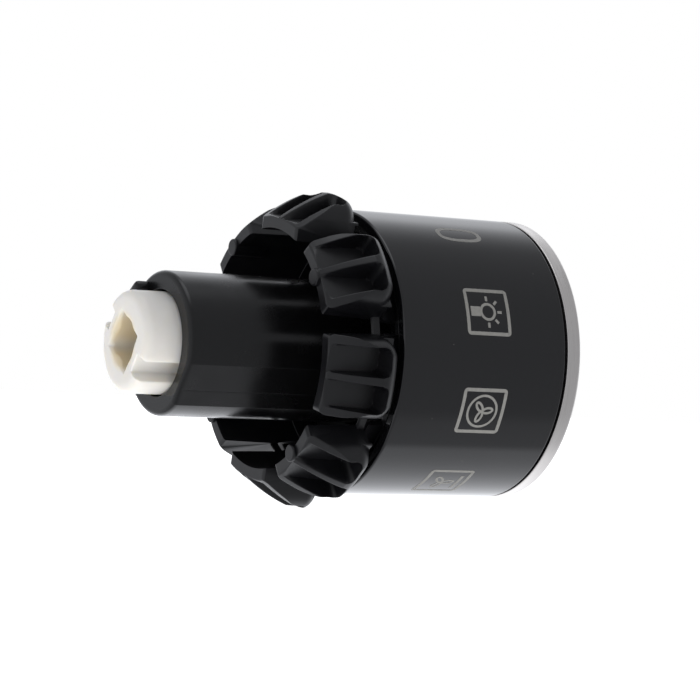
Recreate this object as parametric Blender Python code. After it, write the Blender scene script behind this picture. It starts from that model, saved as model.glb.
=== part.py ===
"""A pop-out selector knob for an oven front: a glossy barrel with a steel face, a collar of snap
fingers that sits behind the panel, and a sprung drive tube that telescopes into the barrel and
latches there.

The knob's axis is the Y axis. The face looks along -Y and the spindle enters from +Y. The origin
is on the axis, in the plane where the fingers' shoulders meet the back of the panel. Angles round
the axis are counted from -X towards +Z, so 0 is the left side seen from the front and 90 the top.
"""

from math import acos, asin, atan2, cos, hypot, pi, radians, sin, sqrt, tau

import bmesh
import bpy
from mathutils import Matrix, Vector

MM = 0.001

# Clearances and mesh fineness
SEAT = 0.15 * MM  # between pieces that rest on or grip each other
RUNNING = 0.3 * MM  # between pieces that slide or turn
FACETS = 64  # sides of a large round
SMALL_FACETS = 20  # sides of a small round
AXIS_RADIUS = 0.000001 * MM  # below this a profile point lies on the axis

# Barrel: the glossy grip that carries the printed symbols
BARREL_RADIUS = 20.0 * MM
BARREL_LENGTH = 26.3 * MM
BARREL_WALL = 1.5 * MM
BARREL_EDGE = 0.35 * MM  # chamfer at both ends
LEDGE_HEIGHT = 0.9 * MM  # inner ledge that the guide plate rests on
COLLAR_GAP = 1.5 * MM  # from the fingers' shoulders to the barrel's rear end

# Steel face, pressed over its carrier
CAP_DEPTH = 2.25 * MM
CAP_SHEET = 0.6 * MM
CAP_EDGE = 0.45 * MM  # rounding of the face's edge
CAP_JOINT = 0.35 * MM  # dark line between the barrel and the steel
BOND_THICKNESS = 0.25 * MM

# Front carrier: closes the barrel and holds the spring's post and the latch
SPIGOT_LENGTH = 2.4 * MM
SPIGOT_WALL = 1.4 * MM
POST_PLAY = 0.85 * MM  # between the post and the spring round it
POST_LENGTH = 9.0 * MM
BUFFER_THICKNESS = 1.0 * MM
BUFFER_WIDTH = 3.4 * MM

# Drive tube
TUBE_RADIUS = 9.9 * MM
TUBE_WALL = 2.6 * MM
TUBE_REAR = 25.5 * MM  # its rear end, behind the panel plane
TUBE_EDGE = 0.3 * MM  # chamfer at its ends
TUBE_WEB_PLACE = 8.0 * MM  # front of the web between the spring and the insert
TUBE_WEB = 1.8 * MM
FLAT_ANGLE = radians(-35.7)  # middle of the long flat
FLAT_HALF_ANGLE = radians(20.3)
TAB_ANGLE = radians(124.0)
TAB_WIDTH = 3.0 * MM
TAB_HEIGHT = 1.9 * MM
TAB_THICKNESS = 1.6 * MM

# Guide plate: a disc whose D-shaped hole keeps the tube straight and turning with the barrel
GUIDE_THICKNESS = 2.4 * MM
SLEEVE_WALL = 1.6 * MM
SLEEVE_LENGTH = 0.8 * MM

# Snap collar
FINGERS = 8
FINGER_ANGLE = radians(80.0)  # middle of the first finger
FINGER_SLIT = 1.18 * MM  # between two fingers at their roots
FINGER_REAR = 9.3 * MM
FINGER_END_INSET = 1.7 * MM  # from the barrel's outside in to the fingers' rear ends
FINGER_END_WALL = 1.6 * MM
FINGER_CORNER = 0.8 * MM  # how far the sides draw in at the rear corners
CREST_PROUD = 2.2 * MM  # from the barrel's outside out to the crest
CREST_ROUND = 1.5 * MM
FINGER_SIDE_ROUND = 2.6 * MM  # rounds the crest to the sides
SHOULDER_WIDTH = 0.6 * MM
SHOULDER_STEP = 0.5 * MM  # relief inside the shoulder
FLUTE_WIDTH = 3.8 * MM
FLUTE_OFFSET = 2.4 * MM  # from the finger's middle to the flute's middle
FLUTE_END = 1.5 * MM  # the flute's closed end, behind the panel plane
FLUTE_REAR_DEPTH = 0.15 * MM
FLUTE_FLOOR_RISE = 0.45 * MM
FLUTE_CORNER = 1.2 * MM
SKIRT_WALL = 1.0 * MM
SKIRT_LENGTH = 5.9 * MM  # ahead of the panel plane
LIP_HEIGHT = 1.4 * MM  # how far the lip stands out from the skirt
LIP_THICKNESS = 1.3 * MM
SLIT_DEPTH = 2.6 * MM  # how far the slits between fingers run into the skirt
ROOT_INSET = 0.12 * MM  # the fingers' roots are this much thinner than the skirt on each side
NUB_RADIUS = 1.2 * MM
NUB_HEIGHT = 0.45 * MM
NUB_EVERY = 2  # every second finger carries a moulding nub

# Retaining ring: keeps the collar in the barrel and lets it turn
RING_THICKNESS = 1.5 * MM

# Return spring and its washer
WIRE_RADIUS = 0.45 * MM
COIL_PLAY = 0.95 * MM  # between the spring and the tube round it
COIL_TURNS = 10
COIL_STEPS = 12  # points to a turn
WIRE_SIDES = 6
WASHER_THICKNESS = 0.6 * MM
WASHER_WIDTH = 3.5 * MM

# Latch: a bent wire whose tip follows a heart-shaped track in the tube
PIN_RADIUS = 0.55 * MM
PIN_BEND = 1.0 * MM
PIN_STUB = 1.6 * MM  # length of the pivot leg in its lug
PIN_SWING = radians(7.0)
TRACK_DEPTH = 1.35 * MM
TRACK_WIDTH = 1.7 * MM
TRACK_LAND = 0.9 * MM  # wall between the track and the tube's front end
HEART_LENGTH = 3.2 * MM  # the island that holds the pin when the knob is in
LUG_WIDTH = 4.4 * MM
LUG_ROOF = 1.0 * MM  # material beyond the pivot leg
LEAF_THICKNESS = 0.3 * MM
LEAF_WIDTH = 3.2 * MM
LEAF_TIP = 2.5 * MM  # from the leaf's end to the pin's tip
LEAF_FOOT = 1.0 * MM  # length of the leaf's end that lies on the pin
SCREW_RADIUS = 0.6 * MM
SCREW_HEAD_RADIUS = 1.2 * MM
SCREW_HEAD = 0.6 * MM
SCREW_LENGTH = 1.8 * MM
SCREW_TO_PIVOT = 1.8 * MM

# Spindle insert
INSERT_REAR = 30.7 * MM
INSERT_EDGE = 1.3 * MM  # rounding of its rear edge
SOCKET_ACROSS = 6.0 * MM  # across the flats of the square socket
SOCKET_DEPTH = 17.0 * MM
LEAD_RADIUS = 4.2 * MM  # of the socket's conical mouth at the end face
LEAD_DEPTH = 1.2 * MM  # where the cone meets the socket's flats
KEYWAY_WIDTH = 3.2 * MM
KEYWAY_DEPTH = 2.3 * MM
KEY_LENGTH = 10.0 * MM  # of the keys inside the tube, from its web
CLIP_THICKNESS = 0.4 * MM
CLIP_WIDTH = 3.6 * MM
CLIP_LENGTH = 9.0 * MM
CLIP_SETBACK = 4.0 * MM  # from the socket's mouth to the clip

# Places along Y and radii that follow from the sizes above, from the face to the rear
BARREL_REAR_Y = -COLLAR_GAP
BARREL_FRONT_Y = BARREL_REAR_Y - BARREL_LENGTH
BARREL_BORE = BARREL_RADIUS - BARREL_WALL
CAP_REAR_Y = BARREL_FRONT_Y - CAP_JOINT
CAP_FRONT_Y = CAP_REAR_Y - CAP_DEPTH
CAP_BORE = BARREL_RADIUS - CAP_SHEET
BOND_FRONT_Y = CAP_FRONT_Y + CAP_SHEET + SEAT
BOND_REAR_Y = BOND_FRONT_Y + BOND_THICKNESS
CARRIER_FACE_Y = BOND_REAR_Y + SEAT
FLANGE_Y = BARREL_FRONT_Y - SEAT
FLANGE_RADIUS = CAP_BORE - SEAT
SPIGOT_RADIUS = BARREL_BORE - SEAT
SPIGOT_Y = FLANGE_Y + SPIGOT_LENGTH
TUBE_BORE = TUBE_RADIUS - TUBE_WALL
COIL_RADIUS = TUBE_BORE - COIL_PLAY - WIRE_RADIUS
POST_RADIUS = COIL_RADIUS - WIRE_RADIUS - POST_PLAY
BUFFER_FRONT_Y = FLANGE_Y + SEAT
BUFFER_REAR_Y = BUFFER_FRONT_Y + BUFFER_THICKNESS
BUFFER_BORE = COIL_RADIUS + WIRE_RADIUS + RUNNING
LIP_RADIUS = BARREL_BORE - RUNNING
SKIRT_RADIUS = LIP_RADIUS - LIP_HEIGHT
SKIRT_BORE = SKIRT_RADIUS - SKIRT_WALL
SKIRT_FRONT_Y = -SKIRT_LENGTH
SKIRT_REAR_Y = -SLIT_DEPTH
LIP_REAR_Y = SKIRT_FRONT_Y + LIP_THICKNESS
RING_FRONT_Y = LIP_REAR_Y + RUNNING
RING_BORE = SKIRT_RADIUS + RUNNING
GUIDE_REAR_Y = SKIRT_FRONT_Y - RUNNING
GUIDE_FRONT_Y = GUIDE_REAR_Y - GUIDE_THICKNESS
LEDGE_Y = GUIDE_FRONT_Y - SEAT
PIN_TIP_Y = GUIDE_FRONT_Y - 2 * RUNNING - PIN_RADIUS
TUBE_FRONT_Y = PIN_TIP_Y - TRACK_WIDTH / 2 - TRACK_LAND
TRAVEL = TUBE_FRONT_Y - RUNNING - BUFFER_REAR_Y  # how far the tube goes into the barrel
WEB_REAR_Y = TUBE_WEB_PLACE + TUBE_WEB
FLAT_DISTANCE = TUBE_RADIUS * cos(FLAT_HALF_ANGLE)
FINGER_END_RADIUS = BARREL_RADIUS - FINGER_END_INSET
FINGER_BORE = FINGER_END_RADIUS - FINGER_END_WALL
FINGER_HALF_WIDTH = (SKIRT_BORE + ROOT_INSET) * sin(pi / FINGERS) - FINGER_SLIT / 2
CREST_RADIUS = BARREL_RADIUS + CREST_PROUD
SHOULDER_RADIUS = CREST_RADIUS - CREST_ROUND - SHOULDER_WIDTH
SPRING_FRONT_Y = FLANGE_Y + SEAT
WASHER_REAR_Y = TUBE_WEB_PLACE - SEAT
WASHER_FRONT_Y = WASHER_REAR_Y - WASHER_THICKNESS
SPRING_REAR_Y = WASHER_FRONT_Y - SEAT
SCREW_Y = SPIGOT_Y + RUNNING + SCREW_HEAD_RADIUS
PIN_PIVOT_Y = SCREW_Y + SCREW_TO_PIVOT
PIN_REACH = PIN_TIP_Y - PIN_PIVOT_Y
PIN_ARM_HEIGHT = TUBE_RADIUS + RUNNING + 2 * PIN_RADIUS  # the arm's distance from the axis
PIN_TIP_HEIGHT = TUBE_RADIUS - TRACK_DEPTH + RUNNING
TRACK_SPREAD = PIN_REACH * sin(PIN_SWING)  # how far the tip swings to a side
LUG_FLOOR = PIN_ARM_HEIGHT + PIN_RADIUS + RUNNING
LUG_TOP = LUG_FLOOR + PIN_STUB + LUG_ROOF
LUG_REAR_Y = PIN_PIVOT_Y + 2 * PIN_RADIUS
LEAF_FLOOR = LUG_TOP + SEAT
INSERT_RADIUS = TUBE_BORE - RUNNING
INSERT_FRONT_Y = WEB_REAR_Y + SEAT
KEYWAY_FLOOR = INSERT_RADIUS - KEYWAY_DEPTH
SOCKET_FLOOR_Y = INSERT_REAR - SOCKET_DEPTH
CLIP_REAR_Y = INSERT_REAR - CLIP_SETBACK
CLIP_ANGLE = FLAT_ANGLE - pi / 2  # on a wall between the keyways


def material(name, colour, roughness, metallic=0.0):
    """A Principled BSDF with one colour, given as linear values."""
    made = bpy.data.materials.new(name)
    made.use_nodes = True
    shader = made.node_tree.nodes["Principled BSDF"]
    shader.inputs["Base Color"].default_value = (*colour, 1.0)
    shader.inputs["Roughness"].default_value = roughness
    shader.inputs["Metallic"].default_value = metallic
    made.diffuse_color = (*colour, 1.0)
    return made


def empty(name, place=(0.0, 0.0, 0.0), parent=None):
    """A bare frame that moving pieces hang on."""
    made = bpy.data.objects.new(name, None)
    made.location = place
    made.parent = parent
    bpy.context.scene.collection.objects.link(made)
    return made


def add_piece(name, mesh, finish, parent=None):
    """Links a mesh to the scene as one piece, shaded smooth with sharp edges kept."""
    mesh.shade_smooth()
    mesh.set_sharp_from_angle(angle=radians(30))
    mesh.materials.append(finish)
    piece = bpy.data.objects.new(name, mesh)
    piece.parent = parent
    bpy.context.scene.collection.objects.link(piece)
    return piece


def cutter(name, meshes):
    """One hidden object that holds several separate shapes for a Boolean."""
    shape = bmesh.new()
    for mesh in meshes:
        shape.from_mesh(mesh)
        bpy.data.meshes.remove(mesh)
    joined = bpy.data.meshes.new(name)
    shape.to_mesh(joined)
    shape.free()
    tool = bpy.data.objects.new(name, joined)
    tool.hide_render = True
    tool.display_type = "WIRE"
    bpy.context.scene.collection.objects.link(tool)
    return tool


def boolean(piece, tool, operation="DIFFERENCE"):
    step = piece.modifiers.new(tool.name, "BOOLEAN")
    step.operation = operation
    step.object = tool
    step.solver = "EXACT"


def mesh_from(name, shape):
    """Turns a bmesh into a mesh with its faces pointing out."""
    bmesh.ops.recalc_face_normals(shape, faces=shape.faces)
    mesh = bpy.data.meshes.new(name)
    shape.to_mesh(mesh)
    shape.free()
    return mesh


def skin(shape, rings, closed):
    """Joins rings of points with faces, and the last ring with the first if closed."""
    following = rings[1:] + rings[:1] if closed else rings[1:]
    for here, there in zip(rings, following):
        for k in range(len(here)):
            m = (k + 1) % len(here)
            corners = list(dict.fromkeys((here[k], here[m], there[m], there[k])))
            if len(corners) > 2:
                shape.faces.new(corners)


def turned(name, profile, facets=FACETS):
    """A solid of revolution about Y from (radius, y) points that close, or that end on the axis."""
    shape = bmesh.new()
    turns = [tau * k / facets for k in range(facets)]
    rings = []
    for r, y in profile:
        if r < AXIS_RADIUS:
            rings.append([shape.verts.new((0.0, y, 0.0))] * facets)
        else:
            rings.append([shape.verts.new((r * cos(t), y, r * sin(t))) for t in turns])
    skin(shape, rings, closed=True)
    return mesh_from(name, shape)


def prism(name, outline, low, high, place):
    """A solid over an outline of (a, b) points. Its floor, low, is a height or a function of (a, b)."""
    shape = bmesh.new()
    floor = low if callable(low) else lambda a, b: low
    below = [shape.verts.new(place @ Vector((a, b, floor(a, b)))) for a, b in outline]
    above = [shape.verts.new(place @ Vector((a, b, high))) for a, b in outline]
    skin(shape, [below, above], closed=False)
    shape.faces.new(below)
    shape.faces.new(above)
    return mesh_from(name, shape)


def wire(name, points, radius, sides):
    """A round wire along a list of points, closed at both ends."""
    shape = bmesh.new()
    rings = []
    side = None
    for i, point in enumerate(points):
        along = (points[min(i + 1, len(points) - 1)] - points[max(i - 1, 0)]).normalized()
        side = along.orthogonal() if side is None else side
        side = (side - along * side.dot(along)).normalized()
        up = along.cross(side)
        turns = [tau * k / sides for k in range(sides)]
        rings.append([shape.verts.new(point + radius * (cos(t) * side + sin(t) * up)) for t in turns])
    skin(shape, rings, closed=False)
    shape.faces.new(rings[0])
    shape.faces.new(rings[-1])
    return mesh_from(name, shape)


def arc(centre, radius, start, end, steps):
    """Points of an arc in a plane, both ends included."""
    turns = [start + (end - start) * i / steps for i in range(steps + 1)]
    return [(centre[0] + radius * cos(t), centre[1] + radius * sin(t)) for t in turns]


def circle(centre, radius, steps=SMALL_FACETS):
    return arc(centre, radius, 0.0, tau, steps)[:-1]


def rectangle(half_a, low_b, high_b):
    return [(-half_a, low_b), (half_a, low_b), (half_a, high_b), (-half_a, high_b)]


def outward_frame(angle, y=0.0):
    """A frame at an angle, whose axes run round the knob, along Y and outwards."""
    outward = Vector((-cos(angle), 0.0, sin(angle)))
    along = Vector((0.0, 1.0, 0.0))
    around = along.cross(outward)
    return Matrix.Translation((0.0, y, 0.0)) @ Matrix((around, along, outward)).transposed().to_4x4()


def axial_frame():
    """A frame with axes -X, +Z and +Y, in which angles count as on the knob."""
    return Matrix(((-1.0, 0.0, 0.0), (0.0, 0.0, 1.0), (0.0, 1.0, 0.0))).transposed().to_4x4()


def latch_frame(y=0.0):
    """The latch works on the +X side, which is half a turn from the angles' start."""
    return outward_frame(pi, y)


def make_barrel(finish, parent):
    """An open tube with chamfered ends and an inner ledge ahead of the guide plate."""
    ledge_radius = BARREL_BORE - LEDGE_HEIGHT
    profile = [
        (BARREL_RADIUS - BARREL_EDGE, BARREL_FRONT_Y),
        (BARREL_RADIUS, BARREL_FRONT_Y + BARREL_EDGE),
        (BARREL_RADIUS, BARREL_REAR_Y - BARREL_EDGE),
        (BARREL_RADIUS - BARREL_EDGE, BARREL_REAR_Y),
        (BARREL_BORE, BARREL_REAR_Y),
        (BARREL_BORE, LEDGE_Y),
        (ledge_radius, LEDGE_Y),
        (ledge_radius, LEDGE_Y - LEDGE_HEIGHT),
        (BARREL_BORE, LEDGE_Y - 2 * LEDGE_HEIGHT),
        (BARREL_BORE, BARREL_FRONT_Y),
    ]
    return add_piece("barrel", turned("barrel", profile), finish, parent)


def make_face_cap(finish, parent):
    """A shallow pressed cup with a rounded edge."""
    edge_centre = (BARREL_RADIUS - CAP_EDGE, CAP_FRONT_Y + CAP_EDGE)
    profile = [
        (0.0, CAP_FRONT_Y + CAP_SHEET),
        (CAP_BORE, CAP_FRONT_Y + CAP_SHEET),
        (CAP_BORE, CAP_REAR_Y),
        (BARREL_RADIUS, CAP_REAR_Y),
        *arc(edge_centre, CAP_EDGE, 0.0, -pi / 2, 4),
        (0.0, CAP_FRONT_Y),
    ]
    return add_piece("face_cap", turned("face_cap", profile), finish, parent)


def make_bond_disc(finish, parent):
    """The adhesive disc between the steel face and its carrier."""
    radius = CAP_BORE - RUNNING
    profile = [(0.0, BOND_FRONT_Y), (radius, BOND_FRONT_Y), (radius, BOND_REAR_Y), (0.0, BOND_REAR_Y)]
    return add_piece("bond_disc", turned("bond_disc", profile), finish, parent)


def make_front_carrier(finish, parent):
    """A flanged plug with a ring spigot, a spring post and a lug for the latch."""
    spigot_bore = SPIGOT_RADIUS - SPIGOT_WALL
    profile = [
        (0.0, CARRIER_FACE_Y),
        (FLANGE_RADIUS, CARRIER_FACE_Y),
        (FLANGE_RADIUS, FLANGE_Y),
        (SPIGOT_RADIUS, FLANGE_Y),
        (SPIGOT_RADIUS, SPIGOT_Y),
        (spigot_bore, SPIGOT_Y),
        (spigot_bore, FLANGE_Y),
        (POST_RADIUS, FLANGE_Y),
        (POST_RADIUS, FLANGE_Y + POST_LENGTH),
        (0.0, FLANGE_Y + POST_LENGTH),
    ]
    carrier = add_piece("front_carrier", turned("front_carrier", profile), finish, parent)
    lug_front_y = (CARRIER_FACE_Y + FLANGE_Y) / 2
    lug_outline = rectangle(LUG_WIDTH / 2, lug_front_y, LUG_REAR_Y)
    lug = prism("lug", lug_outline, LUG_FLOOR, LUG_TOP, latch_frame())
    boolean(carrier, cutter("latch_lug", [lug]), "UNION")
    pivot = circle((0.0, PIN_PIVOT_Y), PIN_RADIUS + SEAT)
    thread = circle((0.0, SCREW_Y), SCREW_RADIUS + SEAT)
    holes = [
        prism("pivot_hole", pivot, LUG_FLOOR - RUNNING, LUG_FLOOR + PIN_STUB + SEAT, latch_frame()),
        prism("screw_hole", thread, LUG_TOP - SCREW_LENGTH - SEAT, LUG_TOP + RUNNING, latch_frame()),
    ]
    boolean(carrier, cutter("lug_holes", holes))
    return carrier


def make_buffer_ring(finish, parent):
    """A soft ring that quiets the tube at the end of its travel."""
    outer = BUFFER_BORE + BUFFER_WIDTH
    profile = [
        (BUFFER_BORE, BUFFER_FRONT_Y),
        (outer, BUFFER_FRONT_Y),
        (outer, BUFFER_REAR_Y),
        (BUFFER_BORE, BUFFER_REAR_Y),
    ]
    return add_piece("buffer_ring", turned("buffer_ring", profile), finish, parent)


def tube_outline(gap):
    """The tube's round section with its long flat, grown by a gap."""
    radius = TUBE_RADIUS + gap
    half = acos((FLAT_DISTANCE + gap) / radius)
    return arc((0.0, 0.0), radius, FLAT_ANGLE + half, FLAT_ANGLE + tau - half, FACETS)


def make_guide_plate(finish, parent):
    """A disc with a short rear sleeve and a hole of the tube's section."""
    sleeve_radius = TUBE_RADIUS + RUNNING + SLEEVE_WALL
    plate_radius = BARREL_BORE - SEAT
    sleeve_rear_y = GUIDE_REAR_Y + SLEEVE_LENGTH
    profile = [
        (0.0, GUIDE_FRONT_Y),
        (plate_radius, GUIDE_FRONT_Y),
        (plate_radius, GUIDE_REAR_Y),
        (sleeve_radius, GUIDE_REAR_Y),
        (sleeve_radius, sleeve_rear_y),
        (0.0, sleeve_rear_y),
    ]
    plate = add_piece("guide_plate", turned("guide_plate", profile), finish, parent)
    low, high = GUIDE_FRONT_Y - RUNNING, sleeve_rear_y + RUNNING
    hole = prism("hole", tube_outline(RUNNING), low, high, axial_frame())
    boolean(plate, cutter("guide_hole", [hole]))
    return plate


def make_retaining_ring(finish, parent):
    """A ring pressed into the barrel behind the collar's lip."""
    outer, rear_y = BARREL_BORE - SEAT, RING_FRONT_Y + RING_THICKNESS
    profile = [(RING_BORE, RING_FRONT_Y), (outer, RING_FRONT_Y), (outer, rear_y), (RING_BORE, rear_y)]
    return add_piece("retaining_ring", turned("retaining_ring", profile), finish, parent)


def finger_section():
    """A finger's section as (radius, y): ramp, crest and shoulder outside, a jog to the skirt inside."""
    crest = (CREST_RADIUS - CREST_ROUND, CREST_ROUND)
    end = (FINGER_END_RADIUS, FINGER_REAR)
    away = (end[0] - crest[0], end[1] - crest[1])
    touch = atan2(away[1], away[0]) - acos(CREST_ROUND / hypot(*away))
    crest_points = arc(crest, CREST_ROUND, touch, -pi / 2, 6)
    ramp_y = FINGER_REAR - FINGER_CORNER
    share = FINGER_CORNER / (FINGER_REAR - crest_points[0][1])
    ramp = end[0] + share * (crest_points[0][0] - end[0])
    root_outer, root_inner = SKIRT_RADIUS - ROOT_INSET, SKIRT_BORE + ROOT_INSET
    jog = FINGER_BORE - root_inner
    return [
        end,
        (ramp, ramp_y),
        *crest_points,
        (SHOULDER_RADIUS, 0.0),
        (SHOULDER_RADIUS, SHOULDER_STEP),
        (root_outer + jog, SHOULDER_STEP),
        (root_outer, SHOULDER_STEP - jog),
        (root_outer, SKIRT_REAR_Y - SKIRT_WALL / 2),
        (root_inner, SKIRT_REAR_Y - SKIRT_WALL / 2),
        (root_inner, SHOULDER_STEP),
        (FINGER_BORE, SHOULDER_STEP + jog),
        (FINGER_BORE, ramp_y),
        (FINGER_BORE, FINGER_REAR),
    ]


def finger_mesh(angle, steps=12):
    """One finger: its section swept round the axis between two parallel sides, its crest rounded to them."""
    shape = bmesh.new()
    rings = []
    for step in range(steps + 1):
        share = 2 * step / steps - 1
        ring = []
        for r, y in finger_section():
            half_width = FINGER_HALF_WIDTH - max(0.0, y - FINGER_REAR + FINGER_CORNER)
            turn = share * asin(half_width / r)
            side = r * sin(turn)
            over = max(0.0, abs(side) - FINGER_HALF_WIDTH + FINGER_SIDE_ROUND)
            rounding = CREST_RADIUS - FINGER_SIDE_ROUND + sqrt(max(0.0, FINGER_SIDE_ROUND**2 - over**2))
            height = min(r * cos(turn), rounding)
            x = side * sin(angle) - height * cos(angle)
            ring.append(shape.verts.new((x, y, side * cos(angle) + height * sin(angle))))
        rings.append(ring)
    skin(shape, rings, closed=False)
    shape.faces.new(rings[0])
    shape.faces.new(rings[-1])
    return mesh_from("finger", shape)


def flute_mesh(angle, offset):
    """A channel with a rising floor, open at the rear and round at its closed end."""
    half, corner = FLUTE_WIDTH / 2, FLUTE_CORNER
    rear = FINGER_REAR + CREST_ROUND
    outline = [(half, rear), (-half, rear)]
    outline += arc((-half + corner, FLUTE_END + corner), corner, pi, 1.5 * pi, 4)
    outline += arc((half - corner, FLUTE_END + corner), corner, 1.5 * pi, tau, 4)
    low = FINGER_END_RADIUS - FLUTE_REAR_DEPTH

    def floor(a, b):
        rise = FLUTE_FLOOR_RISE * (FINGER_REAR - b) / (FINGER_REAR - FLUTE_END)
        return sqrt((low + rise) ** 2 - a * a)

    shifted = [(a + offset, b) for a, b in outline]
    return prism("flute", shifted, floor, CREST_RADIUS + CREST_ROUND, outward_frame(angle))


def nub_mesh(angle):
    """A small round pad left by moulding on a finger's rear end."""
    frame = axial_frame()
    place = FINGER_END_RADIUS - NUB_RADIUS
    centre = (place * cos(angle), place * sin(angle))
    return prism("nub", circle(centre, NUB_RADIUS), FINGER_REAR / 2, FINGER_REAR + NUB_HEIGHT, frame)


def make_snap_collar(finish):
    """A skirt that turns in the barrel, with fluted snap fingers behind the panel."""
    profile = [
        (SKIRT_BORE, SKIRT_FRONT_Y),
        (LIP_RADIUS, SKIRT_FRONT_Y),
        (LIP_RADIUS, LIP_REAR_Y),
        (SKIRT_RADIUS, LIP_REAR_Y),
        (SKIRT_RADIUS, SKIRT_REAR_Y),
        (SKIRT_BORE, SKIRT_REAR_Y),
    ]
    collar = add_piece("snap_collar", turned("snap_collar", profile), finish)
    angles = [FINGER_ANGLE - tau * k / FINGERS for k in range(FINGERS)]
    boolean(collar, cutter("fingers", [finger_mesh(a) for a in angles]), "UNION")
    flutes = [flute_mesh(a, side * FLUTE_OFFSET) for a in angles for side in (-1, 1)]
    boolean(collar, cutter("flutes", flutes))
    boolean(collar, cutter("nubs", [nub_mesh(a) for a in angles[1::NUB_EVERY]]), "UNION")
    return collar


def track_mesh():
    """The wedge-shaped pocket that the pin's tip runs in."""
    half = TRACK_WIDTH / 2
    slant = atan2(TRACK_SPREAD, TRAVEL)
    rear = PIN_TIP_Y + TRAVEL
    outline = arc((0.0, PIN_TIP_Y), half, slant - pi, -slant, 6)
    outline += arc((TRACK_SPREAD, rear), half, -slant, pi / 2, 4)
    outline += arc((-TRACK_SPREAD, rear), half, pi / 2, pi + slant, 4)
    floor = TUBE_RADIUS - TRACK_DEPTH
    return prism("track", outline, floor, TUBE_RADIUS + RUNNING, latch_frame())


def heart_mesh():
    """The island inside the track, with a dip that catches the pin."""
    half = TRACK_SPREAD - TRACK_WIDTH / 2
    rear = PIN_TIP_Y + TRAVEL - TRACK_WIDTH / 2
    front = rear - HEART_LENGTH
    outline = [(0.0, front), (half, rear - half / 2), (half, rear), (0.0, rear - half), (-half, rear)]
    outline.append((-half, rear - half / 2))
    low, high = TUBE_RADIUS - TRACK_DEPTH - SEAT, sqrt(TUBE_RADIUS**2 - half**2) - SEAT
    return prism("heart", outline, low, high, latch_frame())


def make_drive_tube(finish, parent):
    """A tube with a long flat, a web, inner keys, a tab on its rear end and the latch's track."""
    profile = [
        (0.0, TUBE_WEB_PLACE),
        (TUBE_BORE, TUBE_WEB_PLACE),
        (TUBE_BORE, TUBE_FRONT_Y),
        (TUBE_RADIUS - TUBE_EDGE, TUBE_FRONT_Y),
        (TUBE_RADIUS, TUBE_FRONT_Y + TUBE_EDGE),
        (TUBE_RADIUS, TUBE_REAR - TUBE_EDGE),
        (TUBE_RADIUS - TUBE_EDGE, TUBE_REAR),
        (TUBE_BORE, TUBE_REAR),
        (TUBE_BORE, WEB_REAR_Y),
        (0.0, WEB_REAR_Y),
    ]
    tube = add_piece("drive_tube", turned("drive_tube", profile), finish, parent)
    flat = rectangle(TUBE_RADIUS, TUBE_FRONT_Y - RUNNING, TUBE_REAR + RUNNING)
    cuts = [
        prism("flat", flat, FLAT_DISTANCE, TUBE_RADIUS + RUNNING, outward_frame(FLAT_ANGLE)),
        track_mesh(),
    ]
    boolean(tube, cutter("tube_cuts", cuts))
    wall_middle = (TUBE_BORE + FLAT_DISTANCE) / 2
    key = rectangle(KEYWAY_WIDTH / 2 - SEAT, WEB_REAR_Y - TUBE_WEB / 2, WEB_REAR_Y + KEY_LENGTH)
    keys = [
        prism("key", key, KEYWAY_FLOOR + SEAT, wall_middle, outward_frame(FLAT_ANGLE + half_turn))
        for half_turn in (0.0, pi)
    ]
    tab_top = sqrt((TUBE_RADIUS - TUBE_EDGE - SEAT) ** 2 - (TAB_WIDTH / 2) ** 2)
    tab_side = rectangle(TAB_WIDTH / 2, TUBE_REAR - TAB_HEIGHT, TUBE_REAR + TAB_HEIGHT)
    tab = prism("tab", tab_side, tab_top - TAB_THICKNESS, tab_top, outward_frame(TAB_ANGLE))
    boolean(tube, cutter("tube_additions", [*keys, tab, heart_mesh()]), "UNION")
    return tube


def make_return_spring(finish, parent):
    """A compression spring between the carrier and the tube's web."""
    low, high = SPRING_FRONT_Y + WIRE_RADIUS, SPRING_REAR_Y - WIRE_RADIUS
    count = COIL_TURNS * COIL_STEPS
    points = []
    for i in range(count + 1):
        turn = tau * i / COIL_STEPS
        y = low + (high - low) * i / count
        points.append(Vector((COIL_RADIUS * cos(turn), y, COIL_RADIUS * sin(turn))))
    coil = wire("return_spring", points, WIRE_RADIUS, WIRE_SIDES)
    return add_piece("return_spring", coil, finish, parent)


def make_spring_washer(finish, parent):
    """A steel washer between the spring and the tube's web."""
    outer = TUBE_BORE - RUNNING
    inner = outer - WASHER_WIDTH
    profile = [
        (inner, WASHER_FRONT_Y),
        (outer, WASHER_FRONT_Y),
        (outer, WASHER_REAR_Y),
        (inner, WASHER_REAR_Y),
    ]
    return add_piece("spring_washer", turned("spring_washer", profile), finish, parent)


def make_latch_pin(finish, parent):
    """A wire with a pivot leg, an arm along the tube and a tip in the track, modelled about its pivot."""
    arm, bend = PIN_ARM_HEIGHT, PIN_BEND
    line = [(0.0, LUG_FLOOR + PIN_STUB)]
    line += arc((bend, arm + bend), bend, pi, 1.5 * pi, 5)
    line += arc((PIN_REACH - bend, arm - bend), bend, pi / 2, 0.0, 5)
    line.append((PIN_REACH, PIN_TIP_HEIGHT))
    points = [latch_frame() @ Vector((0.0, along, height - LUG_FLOOR)) for along, height in line]
    bent = wire("latch_pin", points, PIN_RADIUS, SMALL_FACETS // 2)
    return add_piece("latch_pin", bent, finish, parent)


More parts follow.
